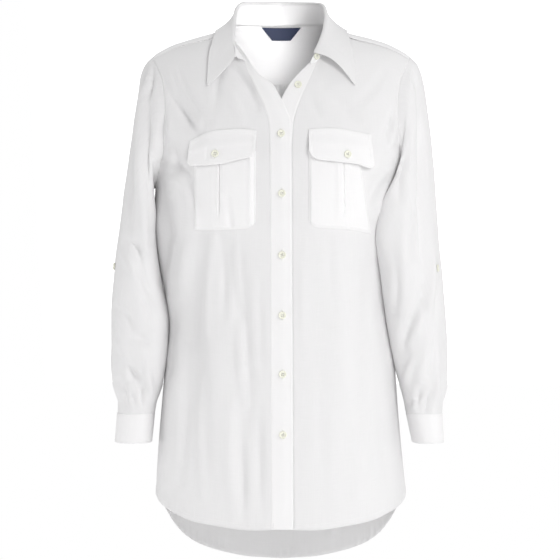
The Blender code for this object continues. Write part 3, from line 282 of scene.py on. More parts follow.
# Sleeves against the ring number, from the armhole at 0 to the cuff's lower edge at 20.
SLEEVE = {
    Side.RIGHT: Table(
        "ring outer_x outer_z inner_x inner_z half_depth middle lean",
        (0, 190, -46, 180, -240, 78, 2, 0),
        (1, 201, -58, 188.5, -243.5, 79, 2, 0),
        (2, 210, -86, 193.5, -248, 79, 2, 2),
        (3, 217, -124, 195, -256, 78, 1, 5),
        (4, 224, -170, 195, -268, 76, 0, 6),
        (5, 230, -215, 193, -288, 74, -4, 6),
        (7, 241, -300, 188, -325, 69, -10, 4),
        (9, 249, -375, 180, -382, 64, -15, 2),
        (11, 252.5, -440, 171, -440, 60, -18, 0),
        (13, 252.5, -495, 172, -495, 57, -20, 0),
        (15, 250, -533, 177, -532, 52, -20, 0),
        (16, 246, -549, 182, -548, 49, -20, 0),
        (17, 242, -562, 187, -561, 47, -20, 0),
        (18, 242.5, -577.2, 189.7, -577.2, 46, -21, 0),
        (19, 243, -577.7, 190, -577.7, 46, -21, 0),
        (20, 246, -620, 194, -620, 46, -23, 0),
    ),
    Side.LEFT: Table(
        "ring outer_x outer_z inner_x inner_z half_depth middle lean",
        (0, 190, -46, 174, -240, 78, 2, 0),
        (1, 202, -58, 182, -243.5, 79, 1, 2),
        (2, 211, -84, 187, -248, 79, -2, 8),
        (3, 217, -122, 187, -256, 79, -4, 13),
        (4, 222, -165, 181, -271, 77, -9, 20),
        (5, 225, -210, 167, -290, 74.5, -19.5, 27),
        (7, 231.5, -305, 146, -325, 68, -33, 22),
        (9, 238, -370, 151, -382, 61, -34, 13),
        (11, 244, -440, 156, -440, 58, -26, 6),
        (13, 247, -500, 167, -497, 54, -24, 2),
        (15, 245.5, -538, 177, -535, 50, -24, 0),
        (16, 242, -552, 181, -550, 48, -24, 0),
        (17, 238.5, -563, 184, -562, 47, -25, 0),
        (18, 237.8, -577.2, 186.7, -577.2, 46, -26, 0),
        (19, 238, -577.7, 187, -577.7, 46, -26, 0),
        (20, 240, -620, 196, -620, 45, -28, 0),
    ),
}
SLEEVE_END_RING = 18.0
SLEEVE_SQUARE = 2.4
BODY_CLEARANCE = {Side.RIGHT: 3.4, Side.LEFT: 3.6}
# Where its front laps further over the body, and its inner side hangs nearer to it: ring, half height
# in rings, how far.
SLEEVE_LAP = (4.8, 1.7, 5.0)
SLEEVE_CLOSER = {
    Side.RIGHT: ((4.2, 1.5, 3.0), (11.2, 1.8, 2.5)),
    Side.LEFT: ((3.6, 1.9, 10.0),),
}
CUFF_RINGS = (19.0, 20.0)
CUFF_LAP = 24.0
CUFF_START = -72.0
CUFF_LAP_LIFT = 2.3

LABEL_TOP_WIDTH = 61.0
LABEL_BOTTOM_WIDTH = 29.0
LABEL_HEIGHT = 19.0
LABEL_TOP = 6.0
LABEL_WALL = 1.0
LABEL_CLEAR = 1.2

BUTTON_DIAMETER = 11.0
BUTTON_THICKNESS = 2.4
HOLE_SPREAD = 1.25  # how far a button's holes stand from its middle, each way
FRONT_BUTTONS = 6
COLLAR_BUTTON_DIAMETER = 9.5


@dataclass(frozen=True)
class Outline:
    """A pocket or flap, seen from the front.

    Attributes:
        inner: x of its inner edge at the top and at the bottom.
        outer: And of its outer edge.
        edges: Heights of its top and bottom edge against the share of the way from inner to outer.
        pleat: x of its pleat, on a pocket.
    """

    inner: tuple[float, float]
    outer: tuple[float, float]
    edges: Table
    pleat: float = 0.0


POCKETS = {
    Side.RIGHT: Outline(
        inner=(-37.5, -37.5),
        outer=(-126.0, -126.0),
        edges=Table(
            "share top bottom",
            (0, -194, -296),
            (0.05, -194, -301),
            (0.16, -196, -305.7),
            (0.79, -203, -307.6),
            (1, -206, -307),
        ),
        pleat=-89.5,
    ),
    Side.LEFT: Outline(
        inner=(39.5, 39.5),
        outer=(114.0, 129.5),
        edges=Table(
            "share top bottom",
            (0, -192, -294),
            (0.04, -192, -300),
            (0.12, -194, -303.5),
            (0.7, -202, -307),
            (1, -206, -312),
        ),
        pleat=89.5,
    ),
}
FLAPS = {
    Side.RIGHT: Outline(
        inner=(-36.5, -38.0),
        outer=(-132.5, -133.0),
        edges=Table(
            "share top bottom",
            (0, -164.7, -195),
            (0.07, -163, -203),
            (0.24, -161.7, -207),
            (0.57, -163, -213.5),
            (0.8, -168.5, -214.5),
            (0.96, -176, -214.5),
            (1, -177.7, -210),
        ),
    ),
    Side.LEFT: Outline(
        inner=(39.5, 39.5),
        outer=(129.5, 131.5),
        edges=Table(
            "share top bottom",
            (0, -162.5, -194),
            (0.05, -162, -202),
            (0.14, -161.3, -206.5),
            (0.4, -160.4, -209),
            (0.76, -165, -212.6),
            (0.95, -168.2, -217),
            (1, -168.7, -213),
        ),
    ),
}
PLEAT_HALF_WIDTH = 9.0
PLEAT_FALL = 6.0
FLAP_LIFT = 4.3
FLAP_TOP_LIFT = 0.9

# How far the rows of stitches run from the edges
POCKET_INSET = 1.8
FLAP_INSET = 5.0
FLAP_TOP_INSET = 2.0
BAND_INSET = 2.4
HEM_INSET = 8.0
SEAM_INSET = 3.0
YOKE_INSET = 1.8
STAND_INSET = 1.8
LABEL_INSET = 1.2


class Part(Enum):
    """Which cloth a fold lies in."""

    BODY = "body"
    SLEEVE_RIGHT = "sleeve_right"
    SLEEVE_LEFT = "sleeve_left"


# Main folds, seen from the front: their ends, half width and how far they stand out (+) or in (-).
FOLDS = {
    (Part.BODY, Face.FRONT): (
        (-170, -90, -120, -168, 13, -7.5),
        (-72, -330, -46, -520, 15, -7.5),
        (-46, -520, -38, -640, 13, -6.0),
        (-104, -420, -84, -690, 16, 4.5),
        (-128, -310, -122, -640, 17, -9.0),
        (-130, -285, -152, -405, 11, 5.0),
        (-160, -265, -166, -390, 12, -6.0),
        (-150, -215, -112, -300, 12, -4.5),
        (178, -118, 162, -168, 9, 1.5),
        (120, -400, 128, -640, 18, -5.0),
        (84, -330, 92, -560, 20, 3.0),
        (60, -100, 120, -160, 12, -4.0),
    ),
    (Part.BODY, Face.BACK): (
        (-120, -170, -70, -330, 16, -7.5),
        (118, -175, 74, -320, 15, -7.0),
        (-40, -330, -52, -640, 20, 6.0),
        (30, -300, 44, -700, 22, -6.0),
        (92, -420, 104, -690, 18, 6.0),
        (-112, -400, -124, -690, 18, -6.0),
        (0, -420, -4, -760, 18, 4.5),
    ),
    (Part.SLEEVE_RIGHT, Face.FRONT): (
        (-207, -90, -208, -320, 8, 6.0),
        (-221, -120, -222, -300, 7, -5.0),
        (-192, -100, -196, -260, 8, -6.0),
        (-213, -328, -190, -448, 10, -8.0),
        (-236, -380, -226, -500, 11, 4.5),
        (-216, -462, -190, -478, 8, -6.0),
        (-232, -486, -206, -540, 9, -7.0),
        (-240, -530, -214, -568, 6, -5.0),
    ),
    (Part.SLEEVE_RIGHT, Face.BACK): (
        (-226, -180, -214, -360, 12, -7.0),
        (-206, -300, -232, -440, 12, 6.0),
        (-196, -420, -236, -500, 11, -7.5),
        (-200, -520, -226, -560, 8, -5.0),
    ),
    (Part.SLEEVE_LEFT, Face.FRONT): (
        (206, -70, 208, -395, 9, -8.0),
        (208, -395, 190, -440, 9, -7.5),
        (190, -440, 180, -490, 8, -6.0),
        (224, -110, 226, -330, 8, 4.0),
        (186, -300, 172, -420, 11, 5.0),
        (236, -440, 240, -540, 8, -5.0),
        (214, -470, 204, -545, 10, 5.0),
        (206, -536, 188, -566, 6, -6.0),
    ),
    (Part.SLEEVE_LEFT, Face.BACK): (
        (222, -170, 208, -350, 12, -7.0),
        (200, -310, 228, -450, 12, 6.0),
        (192, -430, 232, -505, 11, -7.5),
    ),
}

# Finer creases, curved: their ends, how far the middle bows sideways, half width and depth.
CREASES = {
    (Part.BODY, Face.FRONT): (
        # below the shoulder and beside the armhole, wearer's right
        (-166, -78, -118, -150, 8, 5, 2.2),
        (-150, -70, -104, -150, 6, 4, -1.6),
        (-183, -112, -158, -196, -6, 6, 2.6),
        (-176, -150, -150, -220, -5, 5, -2.2),
        (-168, -206, -128, -236, -6, 5, -2.4),
        (-164, -226, -134, -272, -8, 6, 2.0),
        (-84, -64, -96, -128, 3, 6, -1.4),
        (-164, -94, -118, -176, 2, 8, -2.6),
        (-162, -205, -150, -310, 0, 9, 1.6),
        # puckers above the flap
        (-113, -146, -113, -166, 0, 2.4, -0.45),
        (-107.5, -144, -107, -164, 0, 2.4, 0.4),
        (-101.5, -146, -101, -163, 0, 2.4, -0.45),
        (-95.5, -145, -95, -163, 0, 2.6, 0.35),
        # beside the opening
        (-72, -70, -34, -130, -4, 8, -3.2),
        (-92, -84, -56, -150, -3, 8, 1.8),
        # below the pocket and down to the hem
        (-66, -312, -58, -420, 3, 5, 2.0),
        (-88, -316, -84, -440, -3, 6, -2.4),
        (-100, -318, -108, -460, 2, 6, 2.2),
        (-60, -440, -52, -560, 3, 6, 2.6),
        (-30, -380, -26, -520, 2, 6, -1.6),
        (-30, -560, -28, -716, 2, 7, -2.4),
        (-60, -580, -56, -728, -2, 6, -2.0),
        (-74, -560, -66, -724, 4, 8, 2.4),
        (-118, -520, -112, -700, 3, 7, 2.4),
        (-142, -470, -146, -676, -3, 7, -2.6),
        (-160, -330, -160, -430, 3, 7, 2.6),
        (-160, -520, -168, -680, 3, 8, 2.4),
        # wearer's left
        (178, -108, 160, -178, 0, 5, 2.0),
        (154, -246, 134, -292, -2, 6, 2.2),
        (168, -196, 150, -335, 0, 10, 3.0),
        (150, -74, 96, -132, -6, 7, -0.8),
        (172, -128, 150, -190, 5, 6, -2.2),
        (158, -216, 126, -262, 5, 6, 2.0),
        (40, -112, 62, -150, 2, 6, -0.8),
        (70, -318, 76, -430, 2, 7, -0.7),
        (32, -330, 30, -470, 1, 7, 0.5),
        (104, -330, 112, -430, -3, 7, 0.8),
        (136, -360, 138, -470, 3, 7, 1.0),
        (58, -520, 62, -700, 2, 9, -0.7),
        (104, -560, 110, -712, -3, 8, 0.8),
        (146, -500, 154, -680, 3, 8, -0.9),
    ),
    (Part.BODY, Face.BACK): (
        (-150, -120, -104, -240, 6, 7, 2.4),
        (-168, -180, -130, -300, 6, 8, -2.6),
        (152, -124, 104, -232, -6, 7, 2.4),
        (166, -190, 132, -296, -6, 8, -2.4),
        (-84, -320, -88, -480, 4, 9, 2.6),
        (-20, -260, -16, -430, 3, 9, -2.2),
        (62, -340, 70, -520, -4, 9, 2.4),
        (130, -360, 134, -520, 4, 9, -2.6),
        (-150, -420, -156, -640, 4, 9, 2.6),
        (-76, -520, -84, -780, 4, 9, -2.4),
        (16, -560, 22, -796, 3, 9, 2.2),
        (74, -560, 80, -780, -4, 8, -2.4),
        (146, -520, 150, -680, 3, 8, 2.2),
    ),
    (Part.SLEEVE_RIGHT, Face.FRONT): (
        (-204, -92, -205, -306, 2, 5.5, 1.8),
        (-199, -62, -214, -110, -3, 4, -2.4),
        (-194, -60, -205, -108, -3, 4, 2.2),
        (-190, -66, -196, -112, -2, 3.5, -2.0),
        (-214, -130, -214, -250, 2, 4, -2.0),
        (-229, -190, -232, -320, -2, 5, 2.0),
        (-200, -250, -200, -340, 2, 5, 2.4),
        (-226, -322, -204, -350, -3, 5, -2.6),
        (-238, -336, -214, -376, -3, 5, 2.2),
        (-206, -380, -184, -420, 3, 5, 2.2),
        (-240, -420, -220, -452, -3, 5, -2.2),
        (-244, -450, -226, -520, -4, 6, 2.4),
        (-222, -500, -204, -522, 2, 4, 2.0),
        (-198, -500, -190, -560, 2, 5, 2.2),
        (-226, -536, -218, -574, 1, 3.5, 2.2),
        (-206, -540, -202, -575, 1, 3.5, -2.2),
    ),
    (Part.SLEEVE_RIGHT, Face.BACK): (
        (-240, -200, -230, -320, 3, 7, 2.4),
        (-202, -190, -206, -290, 3, 7, -2.4),
        (-240, -470, -222, -560, 3, 6, 2.4),
        (-204, -470, -200, -560, 2, 6, 2.2),
        (-214, -536, -212, -575, 1, 4, -2.2),
    ),
    (Part.SLEEVE_LEFT, Face.FRONT): (
        (197, -64, 206, -116, 2, 4, -2.0),
        (205.5, -98, 206, -340, 0, 4.4, -3.0),
        (197, -100, 197.5, -350, 0, 3.8, 2.0),
        (214, -140, 216, -260, 2, 5, 2.2),
        (196, -130, 190, -220, 3, 6, 2.4),
        (182, -200, 172, -262, 4, 6, -2.8),
        (196, -260, 184, -350, 3, 6, -2.6),
        (222, -330, 216, -420, -3, 6, 2.4),
        (230, -352, 224, -440, -3, 6, -2.2),
        (168, -350, 166, -430, -3, 6, -2.4),
        (204, -420, 184, -474, -4, 5, 2.6),
        (224, -450, 214, -520, -3, 6, -2.2),
        (196, -490, 184, -540, 3, 5, 2.4),
        (230, -520, 222, -574, -1, 4, 2.2),
        (216, -544, 212, -575, 1, 3.5, -2.2),
        (196, -548, 198, -575, 1, 3.5, 2.0),
    ),
    (Part.SLEEVE_LEFT, Face.BACK): (
        (232, -200, 226, -320, 3, 7, 2.4),
        (200, -200, 206, -300, 3, 7, -2.4),
        (236, -480, 224, -560, 3, 6, 2.4),
        (206, -470, 200, -560, 2, 6, -2.4),
    ),
}

# Gathers below the back yoke: where each stands, how far down it runs, and its half width and depth.
GATHERS = Table(
    "across length half_width depth",
    (-66, 60, 2.6, 1.4),
    (-59, 120, 2.4, -1.7),
    (-53, 90, 2.6, 1.8),
    (-46, 150, 2.8, -1.9),
    (-40, 70, 2.2, 1.6),
    (-34, 130, 2.6, -2.0),
    (-27, 100, 2.6, 1.8),
    (-21, 160, 2.6, -1.9),
    (-14, 80, 2.4, 1.9),
    (-8, 120, 2.6, -1.8),
    (-2, 90, 2.4, 1.9),
    (5, 150, 2.6, -2.0),
    (12, 110, 2.8, 1.9),
    (18, 70, 2.2, -1.7),
    (24, 140, 2.6, 1.9),
    (31, 90, 2.6, -1.9),
    (38, 120, 2.6, 1.8),
    (45, 60, 2.4, -1.6),
    (52, 130, 2.6, 1.8),
    (60, 80, 2.6, -1.5),
    (67, 50, 2.4, 1.2),
)


# ---- the form

SECTION_STEPS = 161
READINGS = 400  # of a line that is read backwards
RIDGE = (12.0, -70.0)  # heights between which the shoulders slope
SLOPE_STEP = 0.5  # over which slopes are measured
FAR = 260.0  # further out than any point of the form
HALVINGS = 40


def unit(vectors: Array) -> Array:
    """Vectors scaled to length 1."""
    return vectors / np.maximum(np.linalg.norm(vectors, axis=-1, keepdims=True), 1e-9)


def smooth_step(x: Array | float) -> Array:
    """0 below 0, 1 above 1 and an even rise between them."""
    x = np.clip(x, 0, 1)
    return x * x * (3 - 2 * x)


def bell(away: Array | float, half: float) -> Array:
    """1 where away is 0, falling evenly to nearly 0 at twice the half width."""
    return np.exp(-((away / half) ** 2))


def run_along(points: Array, axis: int) -> Array:
    """Length along one axis of a grid of points.

    Args:
        points: The grid, with x, y and z last.
        axis: 0 to follow the columns, 1 to follow the rows.

    Returns:
        The length at each point, 0 at the axis's start.
    """
    steps = np.linalg.norm(np.diff(points, axis=axis), axis=-1)
    start = np.zeros_like(points[:1, :, 0] if axis == 0 else points[:, :1, 0])
    return np.concatenate([start, np.cumsum(steps, axis=axis)], axis=axis)


def from_edges(points: Array) -> dict[str, Array]:
    """How far each point of a grid lies from its four edges, along the cloth."""
    down, across = run_along(points, 0), run_along(points, 1)
    return {"bottom": down, "top": down[-1:] - down, "first": across, "last": across[:, -1:] - across}


def free(points: Array, edges: str, reach: float) -> Array:
    """0 at the named edges of a grid, rising to 1 within reach of them."""
    away = from_edges(points)
    return math.prod(smooth_step(away[edge] / reach) for edge in edges.split())


def joined(halves: dict[Side, Array]) -> Array:
    """One grid of a right and a left half, whose columns run out from the middle."""
    return np.concatenate([halves[Side.RIGHT][:, ::-1], halves[Side.LEFT][:, 1:]], axis=1)


@dataclass(frozen=True)
class Form:
    """The smooth form that the cloth lies on.

    Attributes:
        sections: Its horizontal sections by height.
    """

    sections: Table

    def half_width(self, height: Array | float, across: Array | float) -> Array:
        """Half width at a height, on the side that across lies on."""
        right, left = self.sections.at("right", height), self.sections.at("left", height)
        return np.where(np.asarray(across) < 0, right, left)

    def half_depth(self, height: Array | float, ahead: Array | float) -> Array:
        """Half depth at a height, in front of or behind the middle, as ahead is."""
        front, back = self.sections.at("front", height), self.sections.at("back", height)
        return np.where(np.asarray(ahead) < 0, front, back)

    def reach(self, points: Array) -> Array:
        """How far out points are.

        Args:
            points: The points.

        Returns:
            1 on the form, less inside it and more outside.
        """
        x, y, z = np.moveaxis(points, -1, 0)
        square = self.sections.at("square", z)
        wide, deep = self.half_width(z, x), self.half_depth(z, y)
        return ((np.abs(x) / wide) ** square + (np.abs(y) / deep) ** square) ** (1 / square)

    def rest(self, share: Array, z: Array) -> Array:
        """The share of one half axis that is left where a share of the other is used up."""
        square = self.sections.at("square", z)
        return np.clip(1 - share**square, 0, None) ** (1 / square)

    def depth(self, x: Array, z: Array, face: Face) -> Array:
        """y of the form's front or back at (x, z)."""
        return face.value * self.half_depth(z, face.value) * self.rest(np.abs(x) / self.half_width(z, x), z)

    def side_x(self, y: Array, z: Array, side: Side) -> Array:
        """x of the form at (y, z), on one side."""
        return side.value * self.half_width(z, side.value) * self.rest(np.abs(y) / self.half_depth(z, y), z)

    def on(self, x: Array, z: Array, face: Face) -> Array:
        """Points of the form's front or back at (x, z)."""
        return np.stack([x, self.depth(x, z, face), z], -1)

    def round_point(self, angle: Array, z: Array, side: Side) -> Array:
        """Points at angles from the front middle, seen from above, and heights.

        Args:
            angle: The angles, in degrees.
            z: The heights.
            side: The wearer's side.

        Returns:
            The points.
        """
        turn = np.radians(angle)
        direction = np.stack([side.value * np.sin(turn), -np.cos(turn), 0 * turn], -1)
        seen = direction + np.array([1e-9 * side.value, 0, 0])
        seen[..., 2] = z
        point = direction / self.reach(seen)[..., None]
        point[..., 2] = z
        return point

    def normal(self, points: Array) -> Array:
        """Outward unit normals."""
        steps = np.eye(3) * SLOPE_STEP
        return unit(np.stack([self.reach(points + s) - self.reach(points - s) for s in steps], -1))

    def cast(self, start: Array, direction: Array) -> Array:
        """Where rays from inside the form meet it, by halving.

        Args:
            start: Where each ray starts.
            direction: Its unit direction.

        Returns:
            The points.
        """
        near, far = np.zeros(start.shape[:-1]), np.full(start.shape[:-1], FAR)
        for _ in range(HALVINGS):
            middle = (near + far) / 2
            inside = self.reach(start + direction * middle[..., None]) < 1
            near, far = np.where(inside, middle, near), np.where(inside, far, middle)
        return start + direction * far[..., None]

    def clear(self, points: Array, clearance: Array | float) -> Array:
        """Points pushed sideways out of the form until they are clear of it.

        Args:
            points: What hangs beside the form.
            clearance: How far from it they end up at least.

        Returns:
            The points, moved.
        """
        flat = np.hypot(points[..., 0], points[..., 1])
        spare = flat * (1 - 1 / self.reach(points))
        scale = 1 + np.clip(clearance - spare, 0, None) / flat
        return points * np.stack([scale, scale, np.ones_like(scale)], -1)


# ---- the cut


@dataclass(frozen=True)
class Pattern:
    """The lines that the garment is cut and sewn along.

    Attributes:
        form: What the cloth lies on.
        middle_drop: How far below the shoulder ridge the rays start that lay a panel on the form.
        fan: Where across they start, against where they aim.
    """

    form: Form
    middle_drop: float = 60.0
    fan: float = 0.6

    def armhole(self, angles: Array, side: Side) -> Array:
        """Points of the armhole: 0 degrees at the top, 180 at the armpit, positive angles at the front.

        Args:
            angles: The angles.
            side: The wearer's side.

        Returns:
            The points.
        """
        turn = np.radians(angles)
        middle, radius = (ARMHOLE_TOP + ARMPIT) / 2, (ARMHOLE_TOP - ARMPIT) / 2
        deep = np.where(np.sin(turn) > 0, ARMHOLE_DEPTH[Face.FRONT], ARMHOLE_DEPTH[Face.BACK])
        y = -deep * np.sin(turn) * (1 - ARMHOLE_EGG * np.cos(turn))
        z = middle + radius * np.cos(turn)
        return np.stack([self.form.side_x(y, z, side), y, z], -1)

    def armhole_angles(self) -> tuple[Array, Array, Array]:
        """Angles up the front from the armpit, over the top, and down the back.

        Returns:
            The three stretches, each with both its ends.
        """
        front = np.linspace(180, FRONT_SEAM_ANGLE, ARM_FRONT_ROWS + 1)
        over = np.linspace(FRONT_SEAM_ANGLE, BACK_SEAM_ANGLE, ARM_TOP_ROWS + 1)
        back = np.linspace(BACK_SEAM_ANGLE, -180, ARM_BACK_ROWS + 1)
        return front, over, back

    def armhole_loop(self) -> Array:
        """The same angles once round, as a sleeve's columns."""
        front, over, back = self.armhole_angles()
        return np.concatenate([front, over[1:], back[1:-1]])

    def neck(self, angles: Array, side: Side) -> Array:
        """Points of the neckline at angles from the front middle."""
        return self.form.round_point(angles, NECKLINE.at("height", angles), side)

    def shoulder_ridge(self, x: Array) -> Array:
        """Height of the shoulder ridge over x."""
        heights = np.linspace(*RIDGE, READINGS)
        return np.interp(np.abs(x), self.form.sections.at("right", heights), heights)

    def shoulder_seam(self, side: Side) -> Array:
        """The forward shoulder seam.

        Args:
            side: The wearer's side.

        Returns:
            Its points, from the neck to the armhole.
        """
        neck = self.neck(np.array([SHOULDER_NECK]), side)[0]
        tip = self.armhole(np.array([FRONT_SEAM_ANGLE]), side)[0]
        x = np.linspace(neck[0], tip[0], SHOULDER_COLUMNS + 1)
        z = self.shoulder_ridge(x) - SHOULDER_DROP.at("drop", np.abs(x))
        z = z + np.linspace(neck[2] - z[0], tip[2] - z[-1], len(x))
        return self.form.on(x, z, Face.FRONT)

    def yoke_seam(self, side: Side) -> Array:
        """The back yoke seam.

        Args:
            side: The wearer's side.

        Returns:
            Its points, from the middle of the back to the armhole.
        """
        tip = self.armhole(self.armhole_angles()[1][-1:], side)[0]
        gathered = side.value * np.linspace(0, YOKE_NECK_WIDTH, YOKE_NECK_COLUMNS + 1)
        plain = np.linspace(side.value * YOKE_NECK_WIDTH, tip[0], SHOULDER_COLUMNS + 1)[1:]
        x = np.concatenate([gathered, plain])
        z = YOKE_SEAM.at("height", np.abs(x))
        z = z + np.linspace(0, 1, len(x)) ** 4 * (tip[2] - z[-1])
        return self.form.on(x, z, Face.BACK)

    def opening(self, side: Side, line: str, along: Array) -> Array:
        """Points of a front edge, line "edge", or of its band's seam, "seam", from 0 at the hem to 1."""
        x, z = OPENING[side].at(line + "_x", along), OPENING[side].at(line + "_z", along)
        return self.form.on(x, z, Face.FRONT)

    def along_at(self, side: Side, height: float) -> float:
        """Where on the band's seam a height is reached."""
        along = np.linspace(0, 1, READINGS)
        return float(np.interp(height, OPENING[side].at("seam_z", along), along))

    def front_along(self, side: Side) -> Array:
        """The rows of a front.

        Args:
            side: The wearer's side.

        Returns:
            Values along its edge: below the armpit, then above it.
        """
        split = self.along_at(side, ARMPIT)
        above = np.linspace(split, 1, ARM_FRONT_ROWS + 1)[1:]
        return np.concatenate([np.linspace(0, split, HEM_ROWS + 1), above])

    def section(self, start_x: Array, z: Array, side: Side, face: Face, shares: Array) -> Array:
        """Points at shares of the way round horizontal sections, from start_x to the side seam.

        Args:
            start_x: Where each row starts, as a column.
            z: The height of each point.
            side: The side of the body.
            face: Its front or its back.
            shares: The share of the way round of each column.

        Returns:
            The grid of points, exactly on the form.
        """
        square = self.form.sections.at("square", z)[..., None]
        power = 2 / square
        half = self.form.half_width(z, side.value)[..., None]
        deep = self.form.half_depth(z, face.value)[..., None]

        def round_at(turns: Array) -> tuple[Array, Array]:
            """Half width and half depth at turns of the section, 0 at its middle."""
            return half * np.sin(turns) ** power, deep * np.clip(np.cos(turns), 0, None) ** power

        begun = np.clip(side.value * start_x[..., None] / half, 0, 1)
        first = np.arcsin(begun ** (square / 2))
        turns = first + (math.pi / 2 - first) * np.linspace(0, 1, SECTION_STEPS)
        x, y = round_at(turns)
        length = np.cumsum(np.hypot(np.diff(x), np.diff(y)), axis=-1)
        length = np.concatenate([np.zeros_like(length[..., :1]), length], axis=-1)
        target = (shares * length[..., -1])[..., None]
        before = np.clip((length < target).sum(-1, keepdims=True) - 1, 0, SECTION_STEPS - 2)
        low = np.take_along_axis(length, before, -1)
        high = np.take_along_axis(length, before + 1, -1)
        steps = (before + (target - low) / (high - low)) / (SECTION_STEPS - 1)
        x, y = round_at(first + (math.pi / 2 - first) * steps)
        return np.stack([side.value * x[..., 0], face.value * y[..., 0], z], -1)

    def hung(self, start_x: Array, side: Side, face: Face, shares: Array, hemline: Table) -> Array:
        """The rows below the armpit: the first follows the hem and the last is level.

        Args:
            start_x: x of each row's first point.
            side: The side of the body.
            face: Its front or its back.
            shares: The columns' shares of the way to the side seam.
            hemline: The hem's height against the share of the half width.

        Returns:
            The grid of points.
        """
        level = np.linspace(0, 1, HEM_ROWS + 1)[:, None]
        middle = (level * ARMPIT + (1 - level) * SIDE_HEM) * np.ones(len(shares))
        begun = np.asarray(start_x)[:, None] * np.ones(len(shares))
        flat = self.section(begun, middle, side, face, shares)
        across = np.abs(flat[..., 0]) / self.form.half_width(middle, side.value)
        heights = level * ARMPIT + (1 - level) * hemline.at("height", across)
        return self.section(begun, heights, side, face, shares)

    def between(self, bottom: Array, top: Array, first: Array, last: Array) -> Array:
        """A grid between four edges, laid on the form by rays from inside it.

        Args:
            bottom: The first row.
            top: The last row.
            first: The first column.
            last: The last column.

        Returns:
            The grid, rows from bottom to top and columns from first to last.
        """
        v = np.linspace(0, 1, len(first))[:, None, None]
        f = np.linspace(0, 1, len(bottom))[None, :, None]
        ruled = (1 - v) * bottom[None] + v * top[None]
        start, end = (1 - v) * bottom[0] + v * top[0], (1 - v) * bottom[-1] + v * top[-1]
        grid = ruled + (1 - f) * (first[:, None] - start) + f * (last[:, None] - end)
        inside = grid[1:-1, 1:-1]
        x = inside[..., 0]
        below = np.minimum(inside[..., 2], self.shoulder_ridge(x) - self.middle_drop)
        origin = np.stack([x * self.fan, 0 * x, below], -1)
        grid[1:-1, 1:-1] = self.form.cast(origin, unit(inside - origin))
        return grid


# ---- creases


FINE_DEPTH = 2.1  # how much deeper the finer creases are than their table says
MAIN_BOW = 3.0  # how far the main folds bend, to one side and the other in turn


@dataclass(frozen=True)
class Crease:
    """One soft trough or ridge, seen from the front.

    Attributes:
        face: The half of the cloth that it lies on.
        start: Its lower or upper end, as x and z.
        end: Its other end.
        bow: How far its middle bends sideways.
        half_width: Half its width.
        depth: How far it stands out, or in if negative.
        skew: Below 1 it is deepest near its start, above 1 near its end.
    """

    face: Face
    start: tuple[float, float]
    end: tuple[float, float]
    bow: float
    half_width: float
    depth: float
    skew: float

    def height(self, points: Array, normals: Array) -> Array:
        """How far the crease moves each point along its normal.

        Args:
            points: The points.
            normals: The normals there.

        Returns:
            How far each point moves, outwards where above 0.
        """
        start = np.array(self.start)
        run = np.array(self.end) - start
        length = float(np.hypot(*run))
        flat = points[..., [0, 2]] - start
        share = (flat @ run) / length**2
        inside = np.clip(share, 0, 1)
        sideways = (flat[..., 0] * run[1] - flat[..., 1] * run[0]) / length
        away = sideways - self.bow * 4 * inside * (1 - inside)
        past = np.abs(share - inside) * length
        t = np.hypot(away, past) / self.half_width
        # a trough or ridge with a slight rise or dip on each side, fading at its ends and round the sides
        profile = (1 - 0.45 * t * t) * np.exp(-0.6 * t * t)
        swell = np.sin(math.pi * np.clip(inside**self.skew, 0.1, 0.9)) ** 0.7
        fade = np.clip(1 - past / (2 * self.half_width), 0, 1)
        seen = np.clip(self.face.value * normals[..., 1] * 1.6, 0, 1)
        return self.depth * profile * swell * fade * seen


def uneven(number: int) -> float:
    """A share that differs from each number to the next, for the place where a fold is deepest."""
    return (number * 0.618) % 1


def rows_of(table: dict, part: Part) -> list:
    """A part's rows in one of the tables above, the front's first, each with its number and face."""
    return list(enumerate((face, *row) for face in Face for row in table[part, face]))


def main_folds(part: Part) -> list[Crease]:
    """The main folds of one part, each bent a little and deepest at a place of its own.

    Args:
        part: The part of the garment.

    Returns:
        The folds.
    """
    return [
        Crease(face, (x0, z0), (x1, z1), MAIN_BOW * (-1) ** number, width, depth, 0.8 + 0.45 * uneven(number))
        for number, (face, x0, z0, x1, z1, width, depth) in rows_of(FOLDS, part)
    ]


def fine_creases(part: Part) -> list[Crease]:
    """The finer creases of one part, likewise.

    Args:
        part: The part of the garment.

    Returns:
        The creases.
    """
    return [
        Crease(face, (x0, z0), (x1, z1), bow, width, depth * FINE_DEPTH, 0.7 + 0.7 * uneven(number))
        for number, (face, x0, z0, x1, z1, bow, width, depth) in rows_of(CREASES, part)
    ]


@dataclass(frozen=True)
class Crumple:
    """A slight unevenness of cloth that has been worn: many long waves in all directions.

    Attributes:
        seed: Fixes the waves.
        waves: How many there are.
        shortest: The shortest wave.
        longest: The longest wave.
        height: How far the cloth moves at most, about.
    """

    seed: int = 11
    waves: int = 18
    shortest: float = 24.0
    longest: float = 85.0
    height: float = 0.5

    def at(self, points: Array) -> Array:
        """The unevenness at some points.

        Args:
            points: The points.

        Returns:
            How far each moves along its normal.
        """
        chance = np.random.default_rng(self.seed)
        moved = np.zeros(points.shape[:-1])
        for _ in range(self.waves):
            direction = unit(chance.normal(size=3))
            length = chance.uniform(self.shortest, self.longest)
            phase = chance.uniform(0, 2 * math.pi)
            moved += np.sin(points @ direction * 2 * math.pi / length + phase) * length / self.longest
        return moved * self.height / math.sqrt(self.waves)


CRUMPLE = Crumple()


def creased(points: Array, normals: Array, part: Part) -> tuple[Array, Array]:
    """How far a part's main folds move each point along its normal, and how far all that is finer does."""
    main = sum(fold.height(points, normals) for fold in main_folds(part))
    return main, sum(crease.height(points, normals) for crease in fine_creases(part)) + CRUMPLE.at(points)


